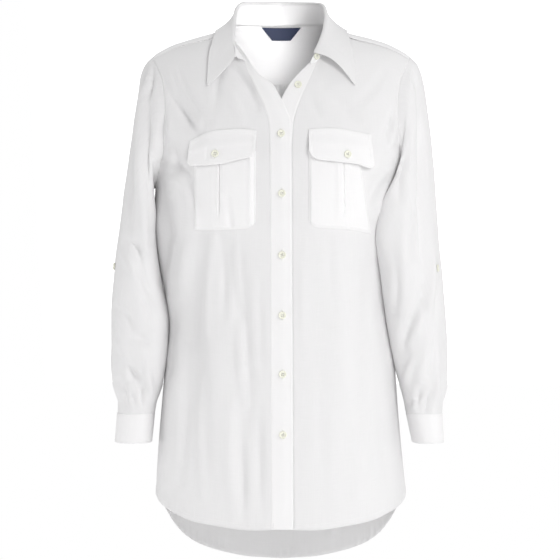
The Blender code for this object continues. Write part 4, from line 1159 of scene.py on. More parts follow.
def grid_normals(points: Array, ring: bool = False) -> Array:
    """Unit normals of a grid from its neighbours, which may still point inwards.

    Args:
        points: The grid.
        ring: Whether each row closes on itself.

    Returns:
        The normals.
    """
    down = np.gradient(points, axis=0)
    if ring:
        across = (np.roll(points, -1, axis=1) - np.roll(points, 1, axis=1)) / 2
    else:
        across = np.gradient(points, axis=1)
    return unit(np.cross(across, down))


def turned_to(normals: Array, out: Array) -> Array:
    """The normals, all turned over if they mostly disagree with the outward direction."""
    return normals if (normals * out).sum(-1).mean() > 0 else -normals


# ---- cloth


@dataclass
class Patch:
    """A piece of cloth as a grid of points with outward normals.

    Attributes:
        points: The grid, which is the CAD wall's inner face.
        normals: The way the wall is raised, longer than 1 where two pieces meet at an angle.
        ring: Whether each row closes on itself.
        grain: For each point, how far it lies across and along the cloth.
    """

    points: Array
    normals: Array
    ring: bool = False
    grain: Array | None = None

    def __post_init__(self) -> None:
        """Works the grain out where none is given."""
        if self.grain is None:
            self.grain = np.stack([run_along(self.points, 1), run_along(self.points, 0)], -1)

    def raised(self, lift: Array | float) -> Array:
        """The grid moved out by lift."""
        return self.points + self.normals * np.asarray(lift)[..., None]

    def seam_dip(self, edges: str, depth: float = 0.25, width: float = 1.4) -> Array:
        """How far the outer face sinks towards its seams.

        Args:
            edges: Any of "bottom", "top", "first" and "last", separated by spaces.
            depth: How far it sinks at the seam.
            width: How far from the seam it has mostly risen again.

        Returns:
            The sinking at each point.
        """
        away = from_edges(self.points)
        return depth * np.max([bell(away[edge], width) for edge in edges.split()], axis=0)

    def trimmed(self, edges: str, half: float = SEAM) -> "Patch":
        """Takes half a seam gap off the named edges.

        Args:
            edges: Any of "bottom", "top", "first" and "last", separated by spaces.
            half: Half the gap.

        Returns:
            The patch, as a copy.
        """
        points = self.points.copy()
        for edge in edges.split():
            lines = points if edge in ("bottom", "top") else points.swapaxes(0, 1)
            end, beside = (0, 1) if edge in ("bottom", "first") else (-1, -2)
            lines[end] += unit(lines[beside] - lines[end]) * half
        return Patch(points, self.normals, self.ring, self.grain)

    def track(self, edge: str, inset: float) -> tuple[Array, Array]:
        """A line beside one edge, on the outer face.

        Args:
            edge: "bottom", "top", "first" or "last".
            inset: How far from the edge the line runs.

        Returns:
            Its points and the normals there.
        """
        points, normals = self.points, self.normals
        if edge in ("bottom", "top"):
            points, normals = points.swapaxes(0, 1), normals.swapaxes(0, 1)
        if edge in ("top", "last"):
            points, normals = points[:, ::-1], normals[:, ::-1]
        away = run_along(points, 1)
        after = np.clip((away < inset).sum(axis=1), 1, points.shape[1] - 1)
        row = np.arange(len(points))
        share = (inset - away[row, after - 1]) / (away[row, after] - away[row, after - 1])
        share = np.clip(share, 0, 1)[:, None]
        line = points[row, after - 1] * (1 - share) + points[row, after] * share
        return line, unit(normals[row, after - 1] * (1 - share) + normals[row, after] * share)


AHEAD = -400.0  # y of a place in front of the whole garment
SHARP_ANGLE = 55.0  # degrees from which an edge isn't shaded smooth


class Ground:
    """A piece's outer face as something that other pieces lie on."""

    def __init__(self, patch: Patch, lift: float = 0.0) -> None:
        """Keeps the face.

        Args:
            patch: The piece.
            lift: How far its outer face lies above the patch's points.
        """
        rows, columns = patch.points.shape[:2]
        index = np.arange(rows * columns).reshape(rows, columns)
        quads = np.stack([index[:-1, :-1], index[:-1, 1:], index[1:, 1:], index[1:, :-1]], -1).reshape(-1, 4)
        self.tree = BVHTree.FromPolygons(patch.raised(lift).reshape(-1, 3).tolist(), quads.tolist())
        self.normals = patch.normals.reshape(-1, 3)[quads].mean(axis=1)

    def under(self, x: Array, z: Array, rounds: int = 10) -> Array:
        """The face as seen from the front, evened out over its neighbours.

        Args:
            x: x of each point.
            z: z of each point.
            rounds: How often it is evened out.

        Returns:
            The face's points.
        """
        y = np.array([self.facing(*place)[0][1] for place in zip(x.flat, z.flat)]).reshape(x.shape)
        for _ in range(rounds):
            y = evened(evened(y).T).T
        return np.stack([x, y, z], -1)

    def facing(self, x: float, z: float) -> tuple[Array, Array]:
        """The face's point seen from the front at (x, z), and the face's normal there."""
        place, _, number, _ = self.tree.ray_cast(Vector((x, AHEAD, z)), Vector((0, 1, 0)))
        return np.array(place), unit(self.normals[number])

    def seat(self, node: str) -> tuple[Array, Array]:
        """Where a button's solid stands on the face.

        Args:
            node: The solid.

        Returns:
            The place and the face's normal there.
        """
        low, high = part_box(node)
        place, _, number, _ = self.tree.find_nearest((low + high) / 2 / MM)
        return np.array(place), unit(self.normals[number])


def evened(values: Array) -> Array:
    """Values each moved half way to the mean of their neighbours in the row above and below.

    Args:
        values: The values, as a grid.

    Returns:
        The values, moved.
    """
    above, below = 2 * values[:1] - values[1:2], 2 * values[-1:] - values[-2:-1]
    wide = np.concatenate([above, values, below])
    return 0.5 * values + 0.25 * (wide[:-2] + wide[2:])


def signed_volume(points: Array, quads: Array) -> float:
    """Volume inside a closed mesh of four-cornered faces, negative if they face inwards."""
    a, b, c, d = (points[quads[:, k]] for k in range(4))
    return float((np.cross(a, b) * c).sum() + (np.cross(a, c) * d).sum())


def add_object(name: str, data: bpy.types.ID) -> bpy.types.Object:
    """A new object in the scene.

    Args:
        name: Its name.
        data: What it shows.

    Returns:
        The object.
    """
    thing = bpy.data.objects.new(name, data)
    bpy.context.scene.collection.objects.link(thing)
    return thing


def add_mesh(name: str, points: Array, faces: list, material: bpy.types.Material) -> bpy.types.Object:
    """A smooth-shaded object from points in millimetres.

    Args:
        name: The piece's name.
        points: Its points.
        faces: The numbers of each face's corners.
        material: Its finish.

    Returns:
        The object, in the scene.
    """
    mesh = bpy.data.meshes.new(name)
    mesh.from_pydata((np.asarray(points) * MM).tolist(), [], faces)
    mesh.shade_smooth()
    mesh.set_sharp_from_angle(angle=math.radians(SHARP_ANGLE))
    mesh.materials.append(material)
    return add_object(name, mesh)


def add_shell(
    name: str,
    low: Array,
    high: Array,
    grain: Array,
    material: bpy.types.Material,
    ring: bool = False,
    round_edge: float = 0.4,
) -> bpy.types.Object:
    """A closed thin shell between two grids, with rounded edges.

    Args:
        name: The piece's name.
        low: The inner grid.
        high: The outer grid.
        grain: How far each point lies across and along the cloth.
        material: Its finish.
        ring: Whether each row closes on itself.
        round_edge: How far the edge stands out, against the wall.

    Returns:
        The object.
    """
    rows, columns = low.shape[:2]
    index = np.arange(rows * columns).reshape(rows, columns)
    after = np.roll(index, -1, axis=1) if ring else index[:, 1:]
    here = index if ring else index[:, :-1]
    top = np.stack([here[:-1], after[:-1], after[1:], here[1:]], -1).reshape(-1, 4)
    count = rows * columns
    inward = index[np.clip(np.arange(rows), 1, rows - 2)]
    if ring:
        loops = [index[0], index[-1][::-1]]
    else:
        loops = [np.concatenate([index[0, :-1], index[:-1, -1], index[-1, :0:-1], index[:0:-1, 0]])]
        inward = inward[:, np.clip(np.arange(columns), 1, columns - 2)]
    flat_low, flat_high = low.reshape(-1, 3), high.reshape(-1, 3)
    points, quads = [flat_low, flat_high], [top[:, ::-1], top + count]
    used = 2 * count
    for loop in loops:
        near = inward.reshape(-1)[loop]
        middle = (flat_low[loop] + flat_high[loop]) / 2
        wall = np.linalg.norm(flat_high[loop] - flat_low[loop], axis=-1, keepdims=True)
        out = unit(middle - (flat_low[near] + flat_high[near]) / 2)
        points.append(middle + out * wall * round_edge)
        edge = used + np.arange(len(loop))
        low_next, edge_next = np.roll(loop, -1), np.roll(edge, -1)
        quads.append(np.stack([edge_next, edge, loop, low_next], -1))
        quads.append(np.stack([low_next + count, loop + count, edge, edge_next], -1))
        used += len(loop)
    points, quads = np.concatenate(points), np.concatenate(quads)
    if signed_volume(points, quads) < 0:
        quads = quads[:, ::-1]
    thing = add_mesh(name, points, quads.tolist(), material)
    cloth = grain.reshape(-1, 2)
    marks = np.concatenate([cloth, cloth, *[cloth[loop] for loop in loops]])
    attribute = thing.data.attributes.new("grain", "FLOAT_VECTOR", "POINT")
    attribute.data.foreach_set("vector", np.column_stack([marks * MM, 0 * marks[:, 0]]).ravel())
    return thing


# ---- finishes


class Nodes:
    """A material's nodes, added by short calls."""

    def __init__(self, name: str) -> None:
        """Starts a material of that name with its one shader.

        Args:
            name: Its name.
        """
        self.material = bpy.data.materials.new(name)
        self.material.use_nodes = True
        self.tree = self.material.node_tree
        self.shader = self.tree.nodes["Principled BSDF"]

    def add(self, kind: str, inputs: dict | None = None, **settings: object) -> bpy.types.Node:
        """Adds a node.

        Args:
            kind: The node's type.
            inputs: For its inputs by name or number, a value or the output to link.
            settings: Its properties.

        Returns:
            The node.
        """
        node = self.tree.nodes.new(kind)
        for key, value in settings.items():
            setattr(node, key, value)
        for key, value in (inputs or {}).items():
            self.give(node, key, value)
        return node

    def give(self, node: bpy.types.Node, key: str | int, value: object) -> None:
        """Sets or links one input.

        Args:
            node: The node.
            key: The input's name or number.
            value: A value, or an output to link.
        """
        if isinstance(value, bpy.types.NodeSocket):
            self.tree.links.new(value, node.inputs[key])
        else:
            node.inputs[key].default_value = value

    def set(self, **values: object) -> None:
        """Sets the shader's own inputs, whose names have underscores for spaces."""
        for key, value in values.items():
            self.give(self.shader, key.replace("_", " "), value)


@dataclass(frozen=True)
class Linen:
    """Plain-woven linen with uneven threads and a slight waviness.

    Attributes:
        name: The finish's name.
        colour: Its base colour.
        shade: How much darker the thinnest places are.
        relief: How strongly the threads stand out.
        lighter: How much the thickest places are lighter, against shade.
        weft: The weft's noise: cells in a metre across and along the cloth, and where it starts.
        warp: The warp's, likewise.
        thickness: What both add up to at the thinnest and the thickest places.
        thread_height: How far the threads stand out, in metres.
        waves: Cells in a metre of the waviness.
        wave_relief: How strongly the waviness stands out.
        wave_height: And how far, in metres.
    """

    name: str
    colour: tuple[float, float, float]
    shade: float
    relief: float
    lighter: float = 0.4
    weft: tuple[float, float, float] = (45, 1300, 3)
    warp: tuple[float, float, float] = (1300, 30, 17)
    thickness: tuple[float, float] = (0.7, 1.3)
    thread_height: float = 0.0003
    waves: float = 70.0
    wave_relief: float = 0.25
    wave_height: float = 0.0012

    def threads(self, nodes: Nodes, cells: tuple[float, float, float]) -> bpy.types.NodeSocket:
        """Uneven threads as noise stretched along them.

        Args:
            nodes: The material's nodes.
            cells: Cells in a metre across and along the cloth, and where the noise starts.

        Returns:
            The noise's value.
        """
        across, along, start = cells
        grain = nodes.add("ShaderNodeAttribute", attribute_name="grain")
        place = {"Vector": grain.outputs["Vector"], "Location": (start,) * 3, "Scale": (across, along, 1)}
        mapping = nodes.add("ShaderNodeMapping", place)
        noise = {"Vector": mapping.outputs[0], "Scale": 1.0, "Detail": 2.0}
        return nodes.add("ShaderNodeTexNoise", noise).outputs["Fac"]

    def material(self) -> bpy.types.Material:
        """Builds the material.

        Returns:
            The material.
        """
        nodes = Nodes(self.name)
        weft, warp = self.threads(nodes, self.weft), self.threads(nodes, self.warp)
        both = nodes.add("ShaderNodeMath", {0: weft, 1: warp}, operation="ADD").outputs[0]
        thin, thick = self.thickness
        light = {"Value": both, "From Min": thin, "From Max": thick}
        light |= {"To Min": 1 - self.shade, "To Max": 1 + self.shade * self.lighter}
        light = nodes.add("ShaderNodeMapRange", light).outputs[0]
        tint = {"Fac": 1.0, "Color1": (*self.colour, 1), "Color2": light}
        tint = nodes.add("ShaderNodeMixRGB", tint, blend_type="MULTIPLY").outputs[0]
        weave = {"Height": both, "Strength": self.relief, "Distance": self.thread_height}
        weave = nodes.add("ShaderNodeBump", weave).outputs[0]
        place = nodes.add("ShaderNodeTexCoord").outputs["Object"]
        waves = nodes.add("ShaderNodeTexNoise", {"Vector": place, "Scale": self.waves}).outputs["Fac"]
        soft = {"Height": waves, "Strength": self.wave_relief, "Distance": self.wave_height, "Normal": weave}
        soft = nodes.add("ShaderNodeBump", soft).outputs[0]
        nodes.set(Base_Color=tint, Normal=soft, Roughness=0.88)
        nodes.set(Sheen_Weight=0.4, Sheen_Roughness=0.5, Specular_IOR_Level=0.2)
        return nodes.material


@dataclass(frozen=True)
class Plain:
    """A finish of one colour.

    Attributes:
        name: The finish's name.
        colour: Its base colour.
        roughness: 0 is a mirror and 1 is chalk.
        coat: How much clear gloss lies on it.
    """

    name: str
    colour: tuple[float, float, float]
    roughness: float
    coat: float = 0.0

    def material(self) -> bpy.types.Material:
        """Builds the material.

        Returns:
            The material.
        """
        nodes = Nodes(self.name)
        nodes.set(Base_Color=(*self.colour, 1), Roughness=self.roughness, Coat_Weight=self.coat)
        return nodes.material


@dataclass
class Kit:
    """What every sub-assembly needs: the cut, the finishes and a way to add pieces to the garment.

    Attributes:
        pattern: The cut.
        single: Linen whose darker base colour is painted shade, standing in for light seen through one thin
            layer, and also painting the collar leaf's shade.
        doubled: Linen in two or more layers.
        thread: Sewing thread.
        button: The buttons' finish.
        label: The neck label's cloth.
    """

    pattern: Pattern
    single: bpy.types.Material
    doubled: bpy.types.Material
    thread: bpy.types.Material
    button: bpy.types.Material
    label: bpy.types.Material

    @property
    def form(self) -> Form:
        """What the cloth lies on."""
        return self.pattern.form

    def attach(self, thing: bpy.types.Object, slot: str, *nodes: str) -> bpy.types.Object:
        """Fixes a piece to the garment and hides the solids that it stands for.

        Args:
            thing: The piece.
            slot: What kind of finish it has; it is not used.
            nodes: The solids.

        Returns:
            The piece.
        """
        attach(thing, "root")
        if nodes:
            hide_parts(*nodes)
        LOG.info("%s: %d faces, stands for %s", thing.name, len(thing.data.polygons), nodes or "no solid")
        return thing

    def cloth(
        self,
        node: str,
        patch: Patch,
        faces: tuple[Array | float, Array | float],
        material: bpy.types.Material,
        held: str,
        *rests_on: str,
    ) -> Patch:
        """Adds a shell of cloth in place of a solid.

        Args:
            node: The solid.
            patch: The cloth's grid.
            faces: How far its inner and its outer face lie above the grid.
            material: Its finish.
            held: How it is held; it is not used.
            rests_on: The solids whose cloth it hangs from or lies on; they are not used.

        Returns:
            Its outer face.
        """
        low, high = (patch.raised(face) for face in faces)
        thing = add_shell(f"{node}_cloth", low, high, patch.grain, material, patch.ring)
        self.attach(thing, "linen", node)
        return Patch(high, patch.normals, patch.ring, patch.grain)


def make_kit() -> Kit:
    """Works out the cut and makes the finishes.
    """
    return Kit(
        pattern=Pattern(Form(SECTIONS)),
        # painted shade: the linen for one layer gets a darker base colour than the doubled one, standing in
        # for light seen through thin cloth; the collar leaf wears it too, for its shade
        single=Linen("linen_single", (0.81, 0.804, 0.808), shade=0.025, relief=0.2).material(),
        doubled=Linen("linen_doubled", (0.885, 0.878, 0.882), shade=0.015, relief=0.15).material(),
        thread=Plain("cotton_thread", (0.86, 0.86, 0.85), 0.7).material(),
        button=Plain("cream_button", (0.86, 0.86, 0.74), 0.35, coat=0.2).material(),
        label=Plain("navy_label", (0.025, 0.034, 0.075), 0.75).material(),
    )


# ---- the body

MAIN_HOLD = 49.0  # how far from a seam the main folds begin
FINE_HOLD = 15.0  # and the finer creases


def laid(points: Array, form: Form, edges: str) -> Patch:
    """A body panel with its folds and creases.

    Args:
        points: The panel's grid on the form.
        form: What it lies on.
        edges: The seams that stay put, from "top", "first" and "last".

    Returns:
        The panel.
    """
    normals = form.normal(points)
    fine_hold = free(points, edges, FINE_HOLD)
    main, fine = creased(points, normals, Part.BODY)
    points = points + normals * (main * free(points, edges, MAIN_HOLD) + fine * fine_hold)[..., None]
    fresh = turned_to(grid_normals(points), normals)
    weight = smooth_step(fine_hold)[..., None]
    return Patch(points, unit(normals * (1 - weight) + fresh * weight))


@dataclass(frozen=True)
class Hem:
    """A narrow turned-up hem, slightly puckered by its stitches.

    Attributes:
        width: How deep it is turned up.
        rise: How far the turned-up cloth stands out.
        pucker: How far the puckers stand out.
        pitch: From one pucker to the next, about.
    """

    width: float = 9.0
    rise: float = 0.5
    pucker: float = 0.9
    pitch: float = 11.0

    def faces(self, patch: Patch, edges: str) -> tuple[Array, Array]:
        """How far a panel's inner and outer faces lie above its grid, with the hem along its first row.

        Args:
            patch: The panel.
            edges: The edges at which the outer face sinks into a seam.

        Returns:
            The two heights.
        """
        down, across = run_along(patch.points, 0), patch.grain[..., 0]
        turned = self.rise * (1 - smooth_step((down - self.width) / 1.5))
        # puckers of uneven pitch and height
        wave = np.sin(across * 2 * math.pi / self.pitch + 1.3 * np.sin(across / 17.0))
        wave = wave * (0.6 + 0.4 * np.sin(across / 23.0 + 1))
        near = bell(down - self.width * 0.7, self.width * 0.9)
        pucker = self.pucker * wave * near
        return CLOTH - THIN + pucker - turned * 0.8, CLOTH - patch.seam_dip(edges) + pucker + turned * 0.5


FRONT_HEM_SEWN = Hem()
BACK_HEM_SEWN = Hem(pucker=1.5, pitch=13.0)


MITRE_LIMIT = 0.6  # the least share that the mitre's length is divided by


@dataclass
class Mitre:
    """The directions in which the walls meet round one armhole.

    Attributes:
        directions: One for each column of the sleeve's first ring.
    """

    directions: Array

    @classmethod
    def between(cls, kit: Kit, side: Side, sleeve_normals: Array) -> "Mitre":
        """The mitre half way between the body's normals and the sleeve's.

        Args:
            kit: The cut.
            side: The wearer's side.
            sleeve_normals: The sleeve's normals at its first ring.

        Returns:
            The mitre.
        """
        body = kit.form.normal(kit.pattern.armhole(kit.pattern.armhole_loop(), side))
        shared = unit(body + sleeve_normals)
        stretch = 1 / np.clip((shared * body).sum(-1, keepdims=True), MITRE_LIMIT, 1)
        return cls(shared * stretch)

    def front(self) -> Array:
        """Those of the front, from the armpit up."""
        return self.directions[: ARM_FRONT_ROWS + 1]

    def over(self) -> Array:
        """Those of the yoke, from front to back."""
        return self.directions[ARM_FRONT_ROWS : ARM_FRONT_ROWS + ARM_TOP_ROWS + 1]

    def back(self) -> Array:
        """Those of the back, from the armpit up."""
        down = np.concatenate([self.directions[ARM_FRONT_ROWS + ARM_TOP_ROWS :], self.directions[:1]])
        return down[::-1]


@dataclass
class Front:
    """One front, from the hem to the neck and from the band's seam to the side seam and the armhole.

    Attributes:
        kit: The cut and the finishes.
        side: The wearer's side.
        mitre: How it meets the sleeve.
    """

    kit: Kit
    side: Side
    mitre: Mitre

    def patch(self) -> Patch:
        """Lays the front out, with the folds.

        Returns:
            The grid.
        """
        cut = self.kit.pattern
        seam = cut.opening(self.side, "seam", cut.front_along(self.side))
        shares = np.linspace(0, 1, NECK_COLUMNS + SHOULDER_COLUMNS + 1)
        lower = cut.hung(seam[: HEM_ROWS + 1, 0], self.side, Face.FRONT, shares, FRONT_HEMLINE)
        neck = cut.neck(np.linspace(BAND_END, SHOULDER_NECK, NECK_COLUMNS + 1), self.side)
        top = np.concatenate([neck[:-1], cut.shoulder_seam(self.side)])
        edge = seam[HEM_ROWS:].copy()
        edge[0] = lower[-1][0]
        upper = cut.between(lower[-1], top, edge, cut.armhole(cut.armhole_angles()[0], self.side))
        patch = laid(np.concatenate([lower, upper[1:]]), self.kit.form, "top first last")
        patch.grain[..., 0] += np.abs(patch.points[:, :1, 0])
        patch.normals[HEM_ROWS:, -1] = self.mitre.front()
        return patch.trimmed("top first last")

    def build(self) -> Patch:
        """Adds the front.

        Returns:
            Its outer face.
        """
        patch = self.patch()
        faces = FRONT_HEM_SEWN.faces(patch, "first")
        return self.kit.cloth(f"front_{self.side.word}", patch, faces, self.kit.single, "hung", "yoke")


@dataclass
class Back:
    """The back, gathered unevenly below the middle of the yoke.

    Attributes:
        kit: The cut and the finishes.
        mitres: How it meets each sleeve.
    """

    kit: Kit
    mitres: dict[Side, Mitre]

    def half(self, side: Side) -> Array:
        """Lays one half out.

        Args:
            side: The wearer's side.

        Returns:
            The grid, columns from the middle to the side.
        """
        cut = self.kit.pattern
        top = cut.yoke_seam(side)
        shares = np.linspace(0, 1, len(top))
        lower = cut.hung(np.zeros(HEM_ROWS + 1), side, Face.BACK, shares, BACK_HEMLINE)
        arm = cut.armhole(cut.armhole_angles()[2][::-1], side)
        z = np.linspace(ARMPIT, top[0, 2], ARM_BACK_ROWS + 1)
        middle = self.kit.form.on(0 * z, z, Face.BACK)
        return np.concatenate([lower, cut.between(lower[-1], top, middle, arm)[1:]])

    def gathered(self, points: Array) -> Array:
        """Gathers the back, each gather with its own place, length and depth.

        Args:
            points: The points.

        Returns:
            The points, moved.
        """
        below = points[-1, :, 2][None] - points[..., 2]
        moved = np.zeros_like(below)
        columns = (GATHERS.values[name] for name in ("across", "length", "half_width", "depth"))
        for across, length, width, depth in zip(*columns):
            middle = across * (1 + below / 700)
            near = bell(points[..., 0] - middle, width * (1 + below / 90))
            moved += depth * near * smooth_step((below + 2) / 9) * (1 - smooth_step(below / length))
        return points + self.kit.form.normal(points) * moved[..., None]

    def patch(self) -> Patch:
        """Lays the back out, with folds and gathers.

        Returns:
            The grid.
        """
        points = joined({side: self.half(side) for side in Side})
        patch = laid(self.gathered(points), self.kit.form, "top first last")
        middle = points.shape[1] // 2
        patch.grain[..., 0] -= patch.grain[:, middle : middle + 1, 0]
        patch.normals[HEM_ROWS:, 0] = self.mitres[Side.RIGHT].back()
        patch.normals[HEM_ROWS:, -1] = self.mitres[Side.LEFT].back()
        return patch.trimmed("top first last")

    def build(self) -> Patch:
        """Adds the back.

        Returns:
            Its outer face.
        """
        patch = self.patch()
        faces = BACK_HEM_SEWN.faces(patch, "top first last")
        return self.kit.cloth("back", patch, faces, self.kit.single, "gathered", "yoke")


@dataclass
class Yoke:
    """The yoke, one piece over both shoulders. Its rows fan round the neck.

    Attributes:
        kit: The cut and the finishes.
        mitres: How it meets each sleeve.
    """

    kit: Kit
    mitres: dict[Side, Mitre]

    def half(self, side: Side) -> Array:
        """Lays one half out.

        Args:
            side: The wearer's side.

        Returns:
            The grid, rows from neck to seam and columns from the middle out.
        """
        cut = self.kit.pattern
        neck = cut.neck(np.linspace(180, SHOULDER_NECK, YOKE_NECK_COLUMNS + 1), side)
        seam = cut.yoke_seam(side)[::2]
        over = cut.armhole(cut.armhole_angles()[1], side)
        outer = np.concatenate([cut.shoulder_seam(side), over[1:]])
        z = np.linspace(neck[0, 2], seam[0, 2], len(outer))
        middle = self.kit.form.on(0 * z, z, Face.BACK)
        return cut.between(neck, seam, middle, outer)

    def patch(self) -> Patch:
        """Lays the yoke out.

        Returns:
            The grid.
        """
        points = joined({side: self.half(side) for side in Side})
        grain = np.stack([points[..., 0], points[..., 1] - points[..., 2]], -1)
        normals = self.kit.form.normal(points)
        moved = CRUMPLE.at(points) * free(points, "bottom top first last", FINE_HOLD)
        patch = Patch(points + normals * moved[..., None], normals, grain=grain)
        patch.normals[SHOULDER_COLUMNS:, 0] = self.mitres[Side.RIGHT].over()
        patch.normals[SHOULDER_COLUMNS:, -1] = self.mitres[Side.LEFT].over()
        return patch.trimmed("bottom top first last")

    def build(self) -> Patch:
        """Adds the yoke.

        Returns:
            Its outer face.
        """
        patch = self.patch()
        faces = (CLOTH - THIN, CLOTH - patch.seam_dip("top first last"))
        return self.kit.cloth("yoke", patch, faces, self.kit.doubled, "hung")


@dataclass
class Band:
    """One of the two stiffened bands down the front edges.

    Attributes:
        kit: The cut and the finishes.
        side: The wearer's side. The right one has the buttonholes and lies on top.
        columns: How finely it is divided across.
        wall: How thick it is.
        ripple: How far it ripples.
    """

    kit: Kit
    side: Side
    columns: int = 12
    wall: float = 1.1
    ripple: float = 0.16

    @property
    def lift(self) -> float:
        """How far its inner face lies above the form at its free edge."""
        return BAND_LIFT if self.side is Side.RIGHT else 0.0

    def patch(self) -> Patch:
        """Lays the band on the form.

        Returns:
            The grid, columns from the free edge to the seam.
        """
        cut, form = self.kit.pattern, self.kit.form
        along = cut.front_along(self.side)
        edge, seam = cut.opening(self.side, "edge", along), cut.opening(self.side, "seam", along)
        over = seam + unit(seam - edge) * BAND_OVER_SEAM[self.side]
        share = np.linspace(0, 1, self.columns + 1)[None, :, None]
        points = edge[:, None] * (1 - share) + over[:, None] * share
        points[..., 1] = form.depth(points[..., 0], points[..., 2], Face.FRONT)
        return Patch(points, form.normal(points))

    def build(self) -> Patch:
        """Adds the band.

        Returns:
            Its outer face.
        """
        patch = self.patch().trimmed("top")
        share = np.linspace(0, 1, self.columns + 1)[None, :] * np.ones((len(patch.points), 1))
        sunk = BAND_SINK[self.side] * smooth_step((share - 0.35) / 0.65)
        down, across = patch.grain[..., 1], patch.grain[..., 0]
        ripple = self.ripple * np.sin(down / 6.1 + 1.2 * np.sin(down / 29)) * np.sin(across / 5 + down / 41)
        high = self.lift + BAND + ripple - sunk
        low = np.minimum(self.lift + BAND - self.wall + ripple, high - 0.4)
        faces, word = (low, high), self.side.word
        return self.kit.cloth(f"placket_{word}", patch, faces, self.kit.doubled, "hung", f"front_{word}")


# ---- pockets and flaps


EVEN_SHARE = 0.45  # how even the columns stand: at 1 all alike, at 0 much closer near the ends
STITCH_HALF = (0.7, 0.8)  # half widths of the furrow that a pocket's and a flap's stitches pull in


@dataclass
class LaidOn:
    """A patch of cloth laid on a front, inside an outline.

    Attributes:
        kit: The cut and the finishes.
        side: The wearer's side.
        ground: The front's outer face.
        columns: How finely it is divided across.
        rows: And down.
    """

    kit: Kit
    side: Side
    ground: Ground
    columns: int = 70
    rows: int = 64

    @property
    def outline(self) -> Outline:
        """Its outline, seen from the front."""
        return POCKETS[self.side]

    def shares(self, count: int) -> Array:
        """Shares from 0 to 1, closer together near both ends."""
        even = np.linspace(0, 1, count + 1)
        return EVEN_SHARE * even + (1 - EVEN_SHARE) * (1 - np.cos(math.pi * even)) / 2

    def columns_at(self) -> Array:
        """Where its columns stand, as shares of its width."""
        return self.shares(self.columns)

    def base(self) -> tuple[Patch, dict[str, Array]]:
        """Lays the piece on the front.

        Returns:
            The grid, and how far each point is from the four edges.
        """
        across, down = self.columns_at()[None, :], self.shares(self.rows)[:, None]
        inner, outer = (
            edge[0] * (1 - down) + edge[1] * down for edge in (self.outline.inner, self.outline.outer)
        )
        top, bottom = (self.outline.edges.at(edge, across) for edge in ("top", "bottom"))
        x = inner + (outer - inner) * across
        z = top + (bottom - top) * down
        points = self.ground.under(x, z)
        patch = Patch(points, self.kit.form.normal(points))
        patch.grain = np.stack([x, z], -1)
        away = {"inner": np.abs(x - inner), "outer": np.abs(outer - x), "top": top - z, "bottom": z - bottom}
        return patch, away

    def lay(self, node: str, patch: Patch, faces: tuple[Array, Array]) -> Patch:
        """Adds the piece.

        Args:
            node: The solid, without its side.
            patch: The grid.
            faces: How far its two faces lie above the grid.

        Returns:
            Its outer face.
        """
        word = self.side.word
        outer = self.kit.cloth(f"{node}_{word}", patch, faces, self.kit.doubled, "laid", f"front_{word}")
        outer.normals = turned_to(grid_normals(outer.points), outer.normals)
        return outer


POCKET_TROUGH = Crease(Face.FRONT, (-77, -262), (-70, -326), 0, 5, -2.0, 1.4)  # on the right one


